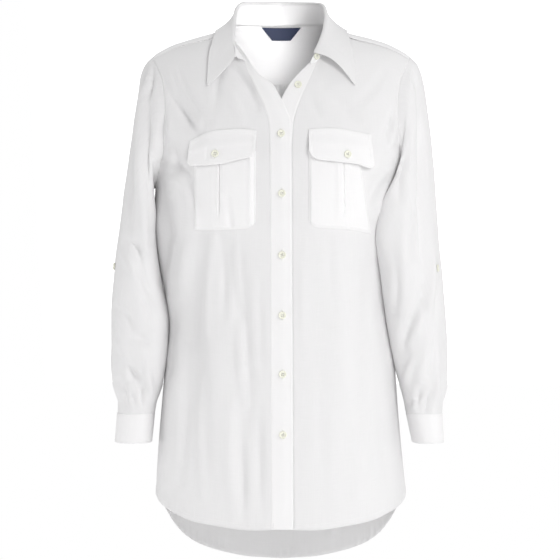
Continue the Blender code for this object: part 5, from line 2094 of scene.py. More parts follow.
@dataclass
class Pocket(LaidOn):
    """A patch pocket with a pleat down its middle.

    Attributes:
        edge_height: How high its outer face stands at its sewn edges.
        height: And inside them.
        slope: How wide the slope between them is at the inner edge.
        roll: How far the rolled inner edge stands out.
        rise: How far the pleat stands out.
        pleat_columns: How many more columns stand at the pleat.
        pleat_reach: How far from its fold line they reach.
        pleat_end: Down to where its fold line shows.
        groove: Depth and half width of the fold line.
        tuck: How far beside the fold line the cloth stands up.
        tuck_rise: And how far up.
        puff: How far the cloth stands out below.
        puff_top: Where it begins to.
        wall: How thick the pocket is.
        stitch_dip: How far its stitches pull it in.
    """

    edge_height: float = 1.0
    height: float = 2.9
    slope: dict[Side, float] = field(default_factory=lambda: {Side.RIGHT: 9.0, Side.LEFT: 3.5})
    roll: dict[Side, float] = field(default_factory=lambda: {Side.RIGHT: 1.5, Side.LEFT: 0.0})
    rise: float = 0.4
    pleat_columns: int = 19
    pleat_reach: float = 4.0
    pleat_end: float = -291.0
    groove: tuple[float, float] = (2.0, 0.8)
    tuck: dict[Side, float] = field(default_factory=lambda: {Side.RIGHT: 27.0, Side.LEFT: 11.0})
    tuck_rise: float = 0.9
    puff: float = 1.3
    puff_top: float = -222.0
    wall: float = 1.0
    stitch_dip: float = 0.35

    def columns_at(self) -> Array:
        """Stands more of the columns at the pleat.

        Returns:
            Their places, as shares of the width.
        """
        inner, outer = self.outline.inner[0], self.outline.outer[0]
        pleat = (self.outline.pleat - inner) / (outer - inner)
        close = pleat + np.linspace(-1, 1, self.pleat_columns) ** 3 * self.pleat_reach / abs(outer - inner)
        return np.unique(np.concatenate([self.shares(self.columns), close]))

    def pleat(self, x: Array, z: Array) -> Array:
        """The pleat and the fold line down its middle.

        Args:
            x: x of each point.
            z: z of each point.

        Returns:
            How far each point rises.
        """
        away = x - self.outline.pleat
        beside = (PLEAT_HALF_WIDTH + PLEAT_FALL - np.abs(away)) / PLEAT_FALL
        rise = self.rise * smooth_step(beside)
        tuck = self.tuck[self.side]
        lip = smooth_step((away + tuck) / 3) * np.clip(-away / tuck, 0, 1)
        if self.side is Side.RIGHT:
            lip = smooth_step((away + tuck) / tuck)
        deep, half = self.groove
        fold = self.tuck_rise * lip * (away < 0) - deep * bell(away, half)
        return rise + fold * smooth_step((z - self.pleat_end) / 12)

    def build(self) -> Patch:
        """Adds the pocket.

        Returns:
            Its outer face.
        """
        patch, away = self.base()
        x, z = patch.points[..., 0], patch.points[..., 2]
        inner = smooth_step(away["inner"] / self.slope[self.side])
        within = inner * smooth_step(away["outer"] / 4.0) * smooth_step(away["bottom"] / 4.5)
        puff = self.puff * smooth_step((self.puff_top - z) / 22) * smooth_step(away["bottom"] / 30) * inner
        puff = puff + (POCKET_TROUGH.height(patch.points, patch.normals) if self.side is Side.RIGHT else 0.0)
        roll = self.roll[self.side] * bell(away["inner"] - 6.0, 3.6)
        high = self.edge_height + (self.height - self.edge_height + puff + roll + self.pleat(x, z)) * within
        stitched = self.stitch_dip * bell(np.minimum(away["inner"], away["outer"]) - 2.2, STITCH_HALF[0])
        return self.lay("pocket", patch, (high - self.wall, high - stitched))


@dataclass
class Flap(LaidOn):
    """A flap sewn down above a pocket and buttoned over it.

    Attributes:
        rim: How far its edges sink below its middle.
        top_dip: How far its sewn edge lies lower still.
        stand: How far its lower half stands out further.
        stitch_dip: How far its stitches pull it in.
        crease: x, top and bottom of the soft crease beside the wearer's right button.
        crease_depth: How deep it is.
    """

    rows: int = 40
    rim: float = 0.3
    top_dip: float = 0.7
    stand: float = 1.9
    stitch_dip: float = 0.3
    crease: tuple[float, float, float] = (-106.0, -184.0, -212.0)
    crease_depth: float = 1.1

    @property
    def outline(self) -> Outline:
        """Its outline, seen from the front."""
        return FLAPS[self.side]

    def build(self) -> Patch:
        """Adds the flap.

        Returns:
            Its outer face.
        """
        patch, away = self.base()
        x, z = patch.points[..., 0], patch.points[..., 2]
        down = self.shares(self.rows)[:, None]
        low = FLAP_TOP_LIFT + (FLAP_LIFT - FLAP_TOP_LIFT) * smooth_step((down - 0.12) / 0.4)
        low = low - self.top_dip * (1 - smooth_step(away["top"] / 3.0))
        low = low + self.stand * smooth_step((down - 0.5) / 0.5)
        edge = np.minimum(np.minimum(away["inner"], away["outer"]), away["bottom"])
        high = low + BAND - self.rim * bell(edge, 2.2)
        high = high - self.stitch_dip * bell(edge - FLAP_INSET, STITCH_HALF[1])
        if self.side is Side.RIGHT:
            middle, top, bottom = self.crease
            along = smooth_step((top - z) / 8) * smooth_step((z - bottom) / 8)
            high = high - self.crease_depth * along * bell(x - middle, 2.0)
        return self.lay("pocket_flap", patch, (high - BAND + 0.4, high))


# ---- buttons and sewing


def circle(sides: int, radius: float) -> Array:
    """A level circle of points round the origin."""
    turns = np.arange(sides) * 2 * math.pi / sides
    return np.stack([np.cos(turns), np.sin(turns), 0 * turns], -1) * radius


def through(rings: Array, loop: bool = False) -> tuple[Array, list]:
    """A body through rings of points.

    Args:
        rings: The rings, one after the other.
        loop: Whether the last is joined to the first, where otherwise both ends are closed.

    Returns:
        Its points and faces.
    """
    count, sides = rings.shape[:2]
    faces = []
    for k in range(count if loop else count - 1):
        here, after = k * sides, (k + 1) % count * sides
        for side in range(sides):
            turn = (side + 1) % sides
            faces.append((here + side, here + turn, after + turn, after + side))
    if not loop:
        faces.append(tuple(range(sides))[::-1])
        faces.append(tuple((count - 1) * sides + side for side in range(sides)))
    return rings.reshape(-1, 3), faces


def tube(path: Array, radius: float, sides: int = 6, flat: float = 1.0) -> tuple[Array, list]:
    """A round bar along a level path, closed at both ends or joined to itself.

    Args:
        path: Its middle line; the last point equals the first where it is a loop.
        radius: Half its width.
        sides: How many sides it has.
        flat: Its height against its width.

    Returns:
        Its points and faces.
    """
    loop = bool(np.allclose(path[0], path[-1]))
    line = path[:-1] if loop else path
    ahead = np.roll(line, -1, axis=0) - np.roll(line, 1, axis=0) if loop else np.gradient(line, axis=0)
    beside = unit(np.cross(ahead, [0.0, 0.0, 1.0]))
    wide, high, _ = np.moveaxis(circle(sides, radius), -1, 0)
    up = np.array([0, 0, flat])
    return through(line[:, None] + beside[:, None] * wide[:, None] + up * high[:, None], loop)


def placed(points: Array, place: Array, normal: Array, turn: float = 0.0) -> Array:
    """Points moved so that their +Z is the normal and their +Y is as upright as it can be.

    Args:
        points: Points round the origin.
        place: Where the origin goes.
        normal: Where +Z goes.
        turn: A turn about the normal, in degrees.

    Returns:
        The points.
    """
    side = unit(np.cross([0.0, 0.0, 1.0], normal))
    up = np.cross(normal, side)
    angle = math.radians(turn)
    x = side * math.cos(angle) + up * math.sin(angle)
    y = np.cross(normal, x)
    return place + points @ np.stack([x, y, normal])


@dataclass
class Stitching:
    """Rows of short stitches, gathered in one piece.

    Attributes:
        kit: The finishes.
        name: The piece's name.
        pitch: From one stitch to the next.
        length: How long each stitch is.
        width: How wide.
        height: How far it stands out.
        rows: The rows sewn so far.
    """

    kit: Kit
    name: str
    pitch: float = 2.8
    length: float = 2.1
    width: float = 0.5
    height: float = 0.28
    rows: list = field(default_factory=list)

    def sew(self, line: Array, normals: Array) -> None:
        """Adds a row of stitches along a line on a face.

        Args:
            line: The line.
            normals: The face's normals along it.
        """
        length = run_along(line[None], 1)[0]
        middles = np.arange(self.pitch, length[-1] - self.pitch / 2, self.pitch)
        if len(middles) < 2:
            return
        place = np.stack([np.interp(middles, length, line[:, k]) for k in range(3)], -1)
        out = unit(np.stack([np.interp(middles, length, normals[:, k]) for k in range(3)], -1))
        along = unit(np.gradient(place, axis=0))
        across = np.cross(out, along)
        half, width, height = self.length / 2, self.width / 2, self.height
        grain = [place - along * half, place + along * half]
        for step in (-0.5, 0.5):
            middle = place + along * half * step
            grain += [middle + across * width, middle + out * height]
            grain += [middle - across * width, middle - out * height]
        self.rows.append(np.stack(grain, axis=1))

    def edge(self, patch: Patch, edges: str, inset: float) -> None:
        """Adds a row beside each of the named edges of a piece's outer face."""
        for edge in edges.split():
            self.sew(*patch.track(edge, inset))

    def build(self, material: bpy.types.Material, slot: str = "linen") -> None:
        """Adds the piece.

        Args:
            material: The thread.
            slot: What kind of finish it has.
        """
        grains = np.concatenate(self.rows)
        first = [(0, 2 + (k + 1) % 4, 2 + k) for k in range(4)]
        middle = [(2 + k, 2 + (k + 1) % 4, 6 + (k + 1) % 4, 6 + k) for k in range(4)]
        last = [(1, 6 + k, 6 + (k + 1) % 4) for k in range(4)]
        faces = [tuple(c + 10 * g for c in f) for g in range(len(grains)) for f in first + middle + last]
        self.kit.attach(add_mesh(self.name, grains.reshape(-1, 3), faces, material), slot)


@dataclass
class ButtonMaker:
    """A four-hole button.

    Attributes:
        kit: The finishes.
        hole: A hole's radius.
        sides: How many sides the button has.
        hole_sides: And how many each hole has.
        profile: Its outline from its underside to its dished top, as shares of its radius and thickness.
    """

    kit: Kit
    hole: float = 0.72
    sides: int = 48
    hole_sides: int = 14
    profile: tuple = (
        (0.80, 0.0),
        (0.92, 0.06),
        (0.985, 0.2),
        (1.0, 0.42),
        (0.99, 0.7),
        (0.96, 0.88),
        (0.9, 0.98),
        (0.84, 1.0),
        (0.77, 0.95),
        (0.7, 0.82),
        (0.62, 0.73),
        (0.5, 0.69),
    )

    def mesh(self) -> bpy.types.Mesh:
        """Makes the button, with its holes cut through.

        Returns:
            Its mesh, lying on the origin.
        """
        rim, high = circle(self.sides, BUTTON_DIAMETER / 2), np.array([0, 0, BUTTON_THICKNESS])
        rings = np.array([rim * share + high * rise for share, rise in self.profile])
        disc = add_mesh("button_blank", *through(rings), self.kit.button)
        bore = circle(self.hole_sides, self.hole)
        for x in (-HOLE_SPREAD, HOLE_SPREAD):
            for y in (-HOLE_SPREAD, HOLE_SPREAD):
                ends = np.array([bore + (x, y, -1.0), bore + (x, y, BUTTON_THICKNESS + 1.0)])
                cut = disc.modifiers.new("hole", "BOOLEAN")
                cut.object = add_mesh("pin", *through(ends), self.kit.button)
                cut.operation, cut.solver = "DIFFERENCE", "EXACT"
        view = bpy.context.evaluated_depsgraph_get()
        mesh = bpy.data.meshes.new_from_object(disc.evaluated_get(view))
        for cut in disc.modifiers:
            bpy.data.objects.remove(cut.object)
        bpy.data.objects.remove(disc)
        return mesh


THREAD_RADIUS = 0.42
BAR_RADIUS = 0.5  # half the width of a buttonhole's worked edge
THREAD_ARCH = ((-1.3, 1.0), (-1.1, 1.9), (0, 2.1), (1.1, 1.9), (1.3, 1.0))  # through two holes: y and z
TACK = ((-1.3, 0.15), (0, 0.25), (1.3, 0.15))  # the bar across a buttonhole's end: x and z


@dataclass
class Fastenings:
    """All the buttons, with their thread, and all the buttonholes.

    Attributes:
        kit: The finishes.
        gap: How far a button stands off the cloth.
        hole_length: A buttonhole's length.
        hole_width: The distance between its two sides.
    """

    kit: Kit
    gap: float = 0.35
    hole_length: float = 14.0
    hole_width: float = 1.5

    def __post_init__(self) -> None:
        """Makes the button that all are copies of."""
        self.blank = ButtonMaker(self.kit).mesh()
        self.thread, self.holes = ([], []), ([], [])

    def button(self, node: str, ground: Ground, turn: float = 0.0, size: float = 1.0) -> None:
        """Sews a button on.

        Args:
            node: The solid that it stands for.
            ground: The face that it stands on.
            turn: A turn about its middle, in degrees.
            size: Its size against the others.
        """
        place, normal = ground.seat(node)
        place = place + normal * self.gap
        mesh = self.blank.copy()
        points = np.array([vertex.co for vertex in mesh.vertices]) / MM
        mesh.vertices.foreach_set("co", (placed(points * size, place, normal, turn) * MM).ravel())
        self.kit.attach(add_object(f"{node}_four_hole", mesh), "buttons", node)
        for x in (-HOLE_SPREAD, HOLE_SPREAD):
            bar, faces = tube(np.array([(x, y, z) for y, z in THREAD_ARCH]) * size, THREAD_RADIUS)
            collect(self.thread, placed(bar, place, normal, turn), faces)

    def hole(self, place: Array, normal: Array, turn: float = 0.0) -> None:
        """Works a buttonhole, upright or turned.

        Args:
            place: Where its middle is.
            normal: The cloth's normal there.
            turn: A turn about the normal, in degrees.
        """
        turns = np.linspace(0, 2 * math.pi, 29)
        half = self.hole_length / 2
        ends = half * np.sign(np.sin(turns)) * (np.abs(np.sin(turns)) > 0.05)
        beside, along = self.hole_width / 2 * np.cos(turns), ends + 0.8 * np.sin(turns)
        paths = [np.stack([beside, along, 0 * turns + 0.1], -1)]
        paths += [np.array([(x, end, z) for x, z in TACK]) for end in (-half, half)]
        for path in paths:
            bar, faces = tube(path, BAR_RADIUS, flat=0.7)
            collect(self.holes, placed(bar, place, normal, turn), faces)

    def build(self) -> None:
        """Adds the thread and the buttonholes."""
        for name, (points, faces), slot in (
            ("button_thread", self.thread, "buttons"),
            ("buttonholes", self.holes, "linen"),
        ):
            self.kit.attach(add_mesh(name, np.concatenate(points), faces, self.kit.thread), slot)


def collect(gathered: tuple[list, list], more_points: Array, more_faces: list) -> None:
    """Adds one more body's points and faces to those gathered so far.

    Args:
        gathered: The points and faces so far.
        more_points: The body's points.
        more_faces: Its faces.
    """
    points, faces = gathered
    start = sum(len(group) for group in points)
    points.append(more_points)
    faces.extend(tuple(start + corner for corner in face) for face in more_faces)


@dataclass
class Label:
    """A blank woven label at the back of the neck, with turned edges.

    Attributes:
        kit: The cut and the finishes.
        turned: How wide its turned edge is.
        columns: How finely it is divided across.
        rows: And down.
    """

    kit: Kit
    turned: float = 2.2
    columns: int = 60
    rows: int = 20

    def build(self, stitching: Stitching) -> None:
        """Adds the label and its stitches.

        Args:
            stitching: What its stitches are gathered in.
        """
        across = np.linspace(-1, 1, self.columns + 1)[None, :]
        down = np.linspace(0, 1, self.rows + 1)[:, None]
        half = (LABEL_TOP_WIDTH * (1 - down) + LABEL_BOTTOM_WIDTH * down) / 2
        x, z = half * across, (LABEL_TOP - (LABEL_HEIGHT - 1) * down) * np.ones_like(across)
        points = self.kit.form.on(x, z, Face.BACK)
        normals = -self.kit.form.normal(points)
        patch = Patch(points, normals, grain=np.stack([x, z], -1))
        height = LABEL_HEIGHT - 1
        edge = np.minimum(half * (1 - np.abs(across)), np.minimum(down * height, (1 - down) * height))
        high = LABEL_CLEAR + LABEL_WALL - 0.35 * smooth_step((edge - self.turned) / 0.8)
        low, high = patch.raised(LABEL_CLEAR), patch.raised(high)
        thing = add_shell("neck_label_woven", low, high, patch.grain, self.kit.label)
        self.kit.attach(thing, "label", "neck_label")
        stitching.edge(Patch(high, normals), "bottom top first last", LABEL_INSET)


# ---- the sleeves


@dataclass
class Sleeve:
    """One long sleeve, from the armhole to the cuff.

    Attributes:
        kit: The cut and the finishes.
        side: The wearer's side.
        round_rings: The rings in which it turns from the armhole's shape to its own.
        clear_rings: And those in which it comes clear of the body.
        main_fade: The rings in which its main folds fade out, at the armhole and at the cuff.
        fine_fade: And its finer creases.
        deeper: How much deeper it is than half as wide, about, for the run of its threads.
    """

    kit: Kit
    side: Side
    round_rings: float = 5.0
    clear_rings: float = 4.0
    main_fade: tuple[float, float] = (2.5, 2.0)
    fine_fade: tuple[float, float] = (0.7, 0.5)
    deeper: float = 12.0

    def ring(self, ring: Array, angles: Array) -> Array:
        """Rings as rounded oblongs between their outer and inner ends.

        Args:
            ring: Ring numbers, as a column.
            angles: Angles round the ring, 0 on the outside and 90 at the front.

        Returns:
            The points.
        """
        read, sign = SLEEVE[self.side].at, self.side.value
        lap, *closer = (
            by * bell(ring - at, half) for at, half, by in (SLEEVE_LAP, *SLEEVE_CLOSER[self.side])
        )
        outer_x, inner_x = sign * read("outer_x", ring), sign * (read("inner_x", ring) - sum(closer))
        outer_z, inner_z = read("outer_z", ring), read("inner_z", ring)
        turn = np.radians(angles)
        power = 2 / (2 + (SLEEVE_SQUARE - 2) * smooth_step(ring / self.round_rings))
        out = np.sign(np.cos(turn)) * np.abs(np.cos(turn)) ** power
        ahead = np.sign(np.sin(turn)) * np.abs(np.sin(turn)) ** power
        x = (outer_x + inner_x) / 2 + (outer_x - inner_x) / 2 * out
        x = x - sign * (read("lean", ring) + lap) * np.clip(ahead, 0, None)
        z = (outer_z + inner_z) / 2 + (outer_z - inner_z) / 2 * out
        y = read("middle", ring) - read("half_depth", ring) * ahead
        return np.stack(np.broadcast_arrays(x, y, z), -1)

    def patch(self) -> Patch:
        """Lays the sleeve out, with the folds.

        Returns:
            The grid, rows from the armhole to the cuff.
        """
        cut, form = self.kit.pattern, self.kit.form
        angles = cut.armhole_loop()
        number = np.linspace(0, SLEEVE_END_RING, SLEEVE_ROWS + 1)[:, None]
        start = self.ring(np.zeros((1, 1)), angles[None])
        blend = (1 - smooth_step(number / self.round_rings))[..., None]
        points = self.ring(number, angles[None]) + (cut.armhole(angles, self.side)[None] - start) * blend
        room = BODY_CLEARANCE[self.side] * smooth_step(number / self.clear_rings) * np.ones(len(angles))
        points[1:] = form.clear(points[1:], room[1:])
        out = points - points.mean(axis=1, keepdims=True)
        normals = turned_to(grid_normals(points, ring=True), out)
        part = Part.SLEEVE_RIGHT if self.side is Side.RIGHT else Part.SLEEVE_LEFT
        main_hold, fine_hold = (
            smooth_step(number / first) * smooth_step((SLEEVE_END_RING - number) / last)
            for first, last in (self.main_fade, self.fine_fade)
        )
        main, fine = creased(points, normals, part)
        points = points + normals * (main * main_hold + fine * fine_hold)[..., None]
        points[1:] = form.clear(points[1:], room[1:])
        normals = turned_to(grid_normals(points, ring=True), out)
        around = np.abs(SLEEVE[self.side].at("outer_x", number) - SLEEVE[self.side].at("inner_x", number))
        radius = around / 2 + self.deeper
        grain = np.stack([np.radians(angles)[None] * radius, run_along(points, 0)], -1)
        return Patch(points, normals, ring=True, grain=grain)

    def build(self, patch: Patch, mitre: Mitre) -> Patch:
        """Adds the sleeve.

        Args:
            patch: The grid.
            mitre: How it meets the body.

        Returns:
            Its outer face.
        """
        patch.normals[0] = mitre.directions
        patch = patch.trimmed("bottom")
        away = from_edges(patch.points)
        dip = 0.15 * bell(away["bottom"], 1.8) + 0.5 * bell(away["top"], 2.4)
        faces = (CLOTH - THIN - dip * 0.9, CLOTH - dip)  # the two faces sink almost together
        return self.kit.cloth(f"sleeve_{self.side.word}", patch, faces, self.kit.single, "hung", "yoke")


@dataclass
class Cuff:
    """A stiffened cuff that laps over itself behind the wrist.

    Attributes:
        sleeve: The sleeve that it ends.
        columns: How finely it is divided round.
        rows: And from top to bottom.
        lap_share: The share of its columns in which the lap rises over the under end.
        wall: How thick it is.
        wave: How much of the soft cloth's unevenness it has.
    """

    sleeve: Sleeve
    columns: int = 130
    rows: int = 14
    lap_share: float = 5 / 26
    wall: float = 1.4
    wave: float = 0.6

    def patch(self) -> Patch:
        """Lays the cuff out.

        Returns:
            The grid, on the inside of the wall.
        """
        top = self.sleeve.ring(np.full((1, 1), CUFF_RINGS[0]), np.linspace(0, 360, 145)[None])[0]
        length = float(run_along(top[None], 1)[0, -1])
        angles = np.linspace(CUFF_START, CUFF_START - 360 * (1 + CUFF_LAP / length), self.columns + 1)
        ring = np.linspace(*CUFF_RINGS, self.rows + 1)[:, None]
        points = self.sleeve.ring(ring, angles[None])
        full = self.sleeve.ring(ring, np.linspace(0, 360, 73)[None, :-1])
        out = unit((points - full.mean(axis=1, keepdims=True)) * np.array([1, 1, 0]))
        share = np.linspace(0, 1, self.columns + 1)[None, :]
        rise = smooth_step((share - (1 - self.lap_share)) / (self.lap_share * 0.8)) * CUFF_LAP_LIFT
        wave = CRUMPLE.at(points) * self.wave
        points = points + out * (rise + wave)[..., None]
        return Patch(points, turned_to(grid_normals(points), out))

    def build(self) -> Patch:
        """Adds the cuff.

        Returns:
            Its outer face.
        """
        kit, word = self.sleeve.kit, self.sleeve.side.word
        faces = (BAND - self.wall, BAND)
        return kit.cloth(f"cuff_{word}", self.patch(), faces, kit.doubled, "hung", f"sleeve_{word}")


# ---- the collar


@dataclass
class Collar:
    """The collar: a stand round the neck and the leaf that folds over it.

    Attributes:
        kit: The cut and the finishes.
        front_columns: Columns from the front end to the band's seam.
        side_columns: From there to the shoulder seam.
        back_columns: From there to the middle of the back.
        stand_rows: Rows of the stand.
        roll_rows: Rows over the fold.
        leaf_rows: Rows of the leaf below the roll.
        wall: How thick each layer is.
    """

    kit: Kit
    front_columns: int = 14
    side_columns: int = 20
    back_columns: int = 52
    stand_rows: int = 9
    roll_rows: int = 6
    leaf_rows: int = 15
    wall: float = 1.3

    def angles(self, start: float) -> Array:
        """The columns of the collar.

        Args:
            start: The front end's angle.

        Returns:
            Angles round the neck to the middle of the back.
        """
        front = np.linspace(start, BAND_END, self.front_columns + 1)
        side = np.linspace(BAND_END, SHOULDER_NECK, self.side_columns + 1)
        back = np.linspace(SHOULDER_NECK, 180, self.back_columns + 1)
        return np.concatenate([front, side[1:], back[1:]])

    def line(self, side: Side, angles: Array) -> tuple[Array, ...]:
        """The line on which the stand is built.

        Args:
            side: The wearer's side.
            angles: Angles from the front middle, in degrees.

        Returns:
            Neck points, fold points, and the outward and upward directions of the stand between them.
        """
        form = self.kit.form
        neck = self.kit.pattern.neck(angles, side)
        over_band = smooth_step((BAND_END - angles) / STAND_STEP + 1) * (side is Side.RIGHT)
        lifted = neck + form.normal(neck) * (STAND_LIFT + BAND_LIFT * over_band)[:, None]
        fold = np.stack([COLLAR.at(f"{side.word}_{axis}", angles) for axis in "xyz"], -1)
        up = unit(fold - lifted)
        out = unit(lifted * np.array([1, 1, 0]))
        return lifted, fold, unit(out - up * (out * up).sum(-1, keepdims=True)), up

    def stand_half(self, side: Side) -> tuple[Array, Array]:
        """Lays one half of the stand out, columns from the middle of the back.

        Args:
            side: The wearer's side.

        Returns:
            The grid and its outward directions.
        """
        angles = self.angles(NECK_END[side])
        low, fold, out, up = self.line(side, angles)
        height = np.linalg.norm(fold - low, axis=1) - STAND_BELOW_FOLD
        run = np.clip((angles - NECK_END[side]) / ((BAND_END - NECK_END[side]) / 2), 0, 1)
        height = height * (STAND_END_SHARE + (1 - STAND_END_SHARE) * np.sqrt(1 - (1 - run) ** 2))
        share = np.linspace(0, 1, self.stand_rows + 1)[:, None, None]
        return (low + up * height[:, None] * share)[:, ::-1], out[None, ::-1]

    def leaf_half(self, side: Side) -> Array:
        """Lays one half of the leaf out, columns likewise.

        Args:
            side: The wearer's side.

        Returns:
            The grid, rows from the fold to its free edge.
        """
        angles = self.angles(LEAF_START[side])
        _, fold, out, up = self.line(side, angles)
        top = fold - up * STAND_BELOW_FOLD + out * BAND
        leaf = self.kit.form.round_point(COLLAR.at("leaf_angle", angles), COLLAR.at("leaf_z", angles), side)
        near = 1 - LEAF_CLOSER[side] * smooth_step((LEAF_CLOSER_ANGLE - angles) / 20.0)
        leaf = leaf + self.kit.form.normal(leaf) * (COLLAR.at("clear", angles) * near)[:, None]
        turns = np.linspace(0, 2, self.roll_rows + 1)
        rows = [top + out * (LEAF_ROLL.at("out", t) - BAND) + up * LEAF_ROLL.at("up", t) for t in turns]
        start = rows[-1]
        end_weight = np.clip((BAND_END - angles) / (BAND_END - LEAF_START[side]), 0, 1)
        for share in np.linspace(0, 1, self.leaf_rows + 1)[1:]:
            bulge = COLLAR.at("bulge", angles) * math.sin(math.pi * share**0.7)
            row = start + (leaf - start) * share + unit(out + up * 0.6) * bulge[:, None]
            row[:, 2] += LEAF_FRONT_BOW[side] * math.sin(math.pi * share) * end_weight
            rows.append(row)
        return np.array(rows)[:, ::-1]

    def build(self) -> tuple[Patch, Patch]:
        """Adds the stand and the leaf.

        Returns:
            Their outer faces.
        """
        halves = {side: self.stand_half(side) for side in Side}
        points, out = (joined({side: halves[side][k] for side in Side}) for k in range(2))
        stand = Patch(points, turned_to(grid_normals(points), out))
        faces = (BAND - self.wall, BAND)
        stand = self.kit.cloth("collar_stand", stand, faces, self.kit.doubled, "hung", "yoke")

        points = joined({side: self.leaf_half(side) for side in Side})
        row = self.roll_rows + 1
        normals = grid_normals(points)
        out = points[row] - points[row].mean(axis=0)
        leaf = Patch(points, normals if (out * normals[row]).sum() > 0 else -normals)
        # the leaf, though doubled, takes the darker linen, whose base colour paints its shade
        return stand, self.kit.cloth("collar_leaf", leaf, faces, self.kit.single, "folded", "collar_stand")


# ---- the studio


BEAM_BLEND = 0.45  # how much of a beam's width is its soft edge


@dataclass(frozen=True)
class Lamp:
    """A soft light, aimed at the garment.

    Attributes:
        name: Its name.
        place: Where it stands, in metres.
        size: The length of its side, in metres.
        power: Its power, in watts.
        target: What it is aimed at, in metres.
        cone: How wide its beam is, in degrees, or 0 for a soft square that shines all round.
    """

    name: str
    place: tuple[float, float, float]
    size: float
    power: float
    target: tuple[float, float, float] = (0.0, 0.0, -0.38)
    cone: float = 0.0

    def build(self) -> None:
        """Adds the light."""
        light = bpy.data.lights.new(self.name, "SPOT" if self.cone else "AREA")
        light.energy = self.power
        if self.cone:
            light.shadow_soft_size = self.size
            light.spot_size = math.radians(self.cone)
            light.spot_blend = BEAM_BLEND
        else:
            light.size = self.size
        thing = add_object(self.name, light)
        thing.location = self.place
        thing.visible_camera = not self.cone
        thing.rotation_euler = (Vector(self.target) - thing.location).to_track_quat("-Z", "Y").to_euler()


@dataclass(frozen=True)
class Studio:
    """The floor, the lights, the background and the camera.

    Attributes:
        floor_height: Where the floor lies, below the level view.
        floor_size: Half the floor's width.
        lens: The camera's focal length, in millimetres.
        sensor: The width of its film, in millimetres.
        camera: Where the camera stands, in metres.
        ambient: How bright the white around it is, as light.
        lamps: The lights.
    """

    floor_height: float = -1.3
    floor_size: float = 1.9
    lens: float = 145.7
    sensor: float = 36.0
    camera: tuple[float, float, float] = (-0.002, -3.4, -0.380)
    ambient: float = 0.44
    lamps: tuple[Lamp, ...] = (
        Lamp("key", (1.35, -1.9, 0.8), 1.1, 21.5),
        Lamp("right", (2.6, 0.3, -0.4), 2.0, 14.0),
        Lamp("left", (-2.6, 0.2, -0.4), 2.0, 26.0),
        Lamp("back", (0.3, 2.7, 0.3), 2.0, 9.0),
        Lamp("low", (0.2, -2.3, -1.0), 0.5, 14.0),
        Lamp("top", (0.2, 0.3, 1.9), 1.4, 8.0),
        Lamp("inner", (0.055, -0.05, -0.15), 0.03, 1.25, (-0.06, 0.07, -0.02), 58.0),
    )

    def build(self) -> None:
        """Adds everything."""
        size = self.floor_size
        corners = [(-size, -size), (size, -size), (size, size), (-size, size)]
        mesh = bpy.data.meshes.new("floor")
        mesh.from_pydata([(x, y, self.floor_height) for x, y in corners], [], [(0, 1, 2, 3)])
        mesh.materials.append(Plain("floor_paint", (0.92, 0.92, 0.92), 0.9).material())
        floor = add_object("floor", mesh)
        for lamp in self.lamps:
            lamp.build()
        self.background()
        camera = add_object("camera", bpy.data.cameras.new("camera"))
        camera.data.lens = self.lens
        camera.data.sensor_width = self.sensor
        camera.location = self.camera
        camera.rotation_euler = (math.pi / 2, 0, 0)
        bpy.context.scene.camera = camera
        bpy.context.scene.view_settings.view_transform = "Standard"

    def background(self) -> None:
        """White where the camera sees it, dimmer as light."""
        world = bpy.data.worlds.new("white")
        world.use_nodes = True
        nodes, links = world.node_tree.nodes, world.node_tree.links
        shader = nodes["Background"]
        seen = nodes.new("ShaderNodeLightPath")
        strength = nodes.new("ShaderNodeMapRange")
        strength.inputs["To Min"].default_value = self.ambient
        strength.inputs["To Max"].default_value = 1.0
        links.new(seen.outputs["Is Camera Ray"], strength.inputs["Value"])
        links.new(strength.outputs[0], shader.inputs["Strength"])
        shader.inputs["Color"].default_value = (1, 1, 1, 1)
        bpy.context.scene.world = world


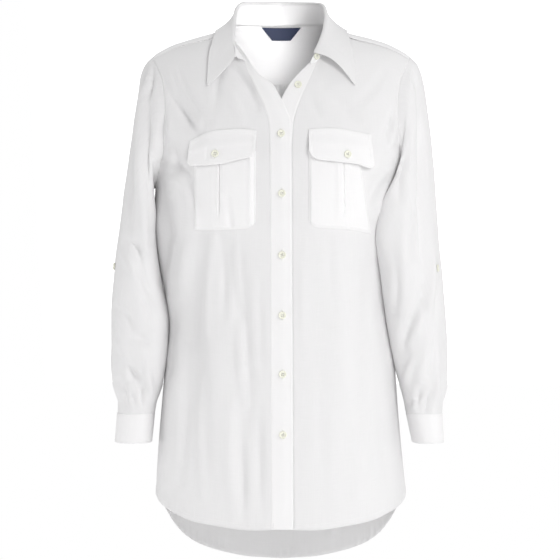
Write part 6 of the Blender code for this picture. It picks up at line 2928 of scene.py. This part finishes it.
def main() -> None:
    """Builds the garment, sub-assembly by sub-assembly, and the studio round it."""
    logging.basicConfig(level=logging.INFO, format="%(name)s: %(message)s")
    kit = make_kit()
    sleeves = {side: Sleeve(kit, side) for side in Side}
    sleeve_patches = {side: sleeve.patch() for side, sleeve in sleeves.items()}
    mitres = {side: Mitre.between(kit, side, sleeve_patches[side].normals[0]) for side in Side}
    fronts = {side: Front(kit, side, mitres[side]).build() for side in Side}
    bands = {side: Band(kit, side).build() for side in Side}
    arms = {side: sleeves[side].build(sleeve_patches[side], mitres[side]) for side in Side}
    cuffs = {side: Cuff(sleeves[side]).build() for side in Side}
    back = Back(kit, mitres).build()
    yoke = Yoke(kit, mitres).build()
    stand, leaf = Collar(kit).build()

    seams = Stitching(kit, "seam_stitches")
    edges = Stitching(kit, "edge_stitches")
    pocket_rows = Stitching(kit, "pocket_stitches")
    label_rows = Stitching(kit, "label_stitches", pitch=2.2, length=1.6, width=0.35, height=0.2)
    fastenings = Fastenings(kit)
    top_band = Ground(bands[Side.RIGHT])
    for number in range(1, FRONT_BUTTONS + 1):
        fastenings.button(f"button_front_{number}", top_band, turn=11.0 * math.sin(2.4 * number))
        fastenings.hole(*top_band.seat(f"button_front_{number}"))
    fastenings.button("button_open", Ground(bands[Side.LEFT]), turn=12.0)
    neck = Ground(stand)
    fastenings.button("button_collar", neck, turn=-9.0, size=COLLAR_BUTTON_DIAMETER / BUTTON_DIAMETER)
    fastenings.hole(*neck.facing(*STAND_HOLE), turn=78.0)
    for side in Side:
        ground = Ground(fronts[side])
        pocket = Pocket(kit, side, ground).build()
        flap = Flap(kit, side, ground).build()
        pocket_rows.edge(pocket, "bottom first last", POCKET_INSET)
        pocket_rows.edge(flap, "bottom first last", FLAP_INSET)
        pocket_rows.edge(flap, "top", FLAP_TOP_INSET)
        cover = Ground(flap)
        fastenings.button(f"button_flap_{side.word}", cover, turn=8.0 * side.value)
        fastenings.hole(*cover.seat(f"button_flap_{side.word}"))
        fastenings.button(f"button_tab_{side.word}", Ground(arms[side]), turn=14.0)
        fastenings.button(f"button_cuff_{side.word}", Ground(cuffs[side]), turn=-12.0)
        edges.edge(bands[side], "first last", BAND_INSET)
        edges.edge(cuffs[side], "bottom top", BAND_INSET)
        edges.edge(fronts[side], "bottom", HEM_INSET)
        seams.edge(fronts[side], "last", SEAM_INSET)
    edges.edge(back, "bottom", HEM_INSET)
    seams.edge(back, "first last", SEAM_INSET)
    seams.edge(yoke, "bottom top", YOKE_INSET)
    edges.edge(leaf, "top first last", SEAM_INSET)
    edges.edge(stand, "bottom", STAND_INSET)
    fastenings.build()
    Label(kit).build(label_rows)
    for rows in (seams, edges, pocket_rows):
        rows.build(kit.thread)
    label_rows.build(kit.label, "label")
    Studio().build()
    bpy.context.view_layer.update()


if __name__ == "__main__":
    main()
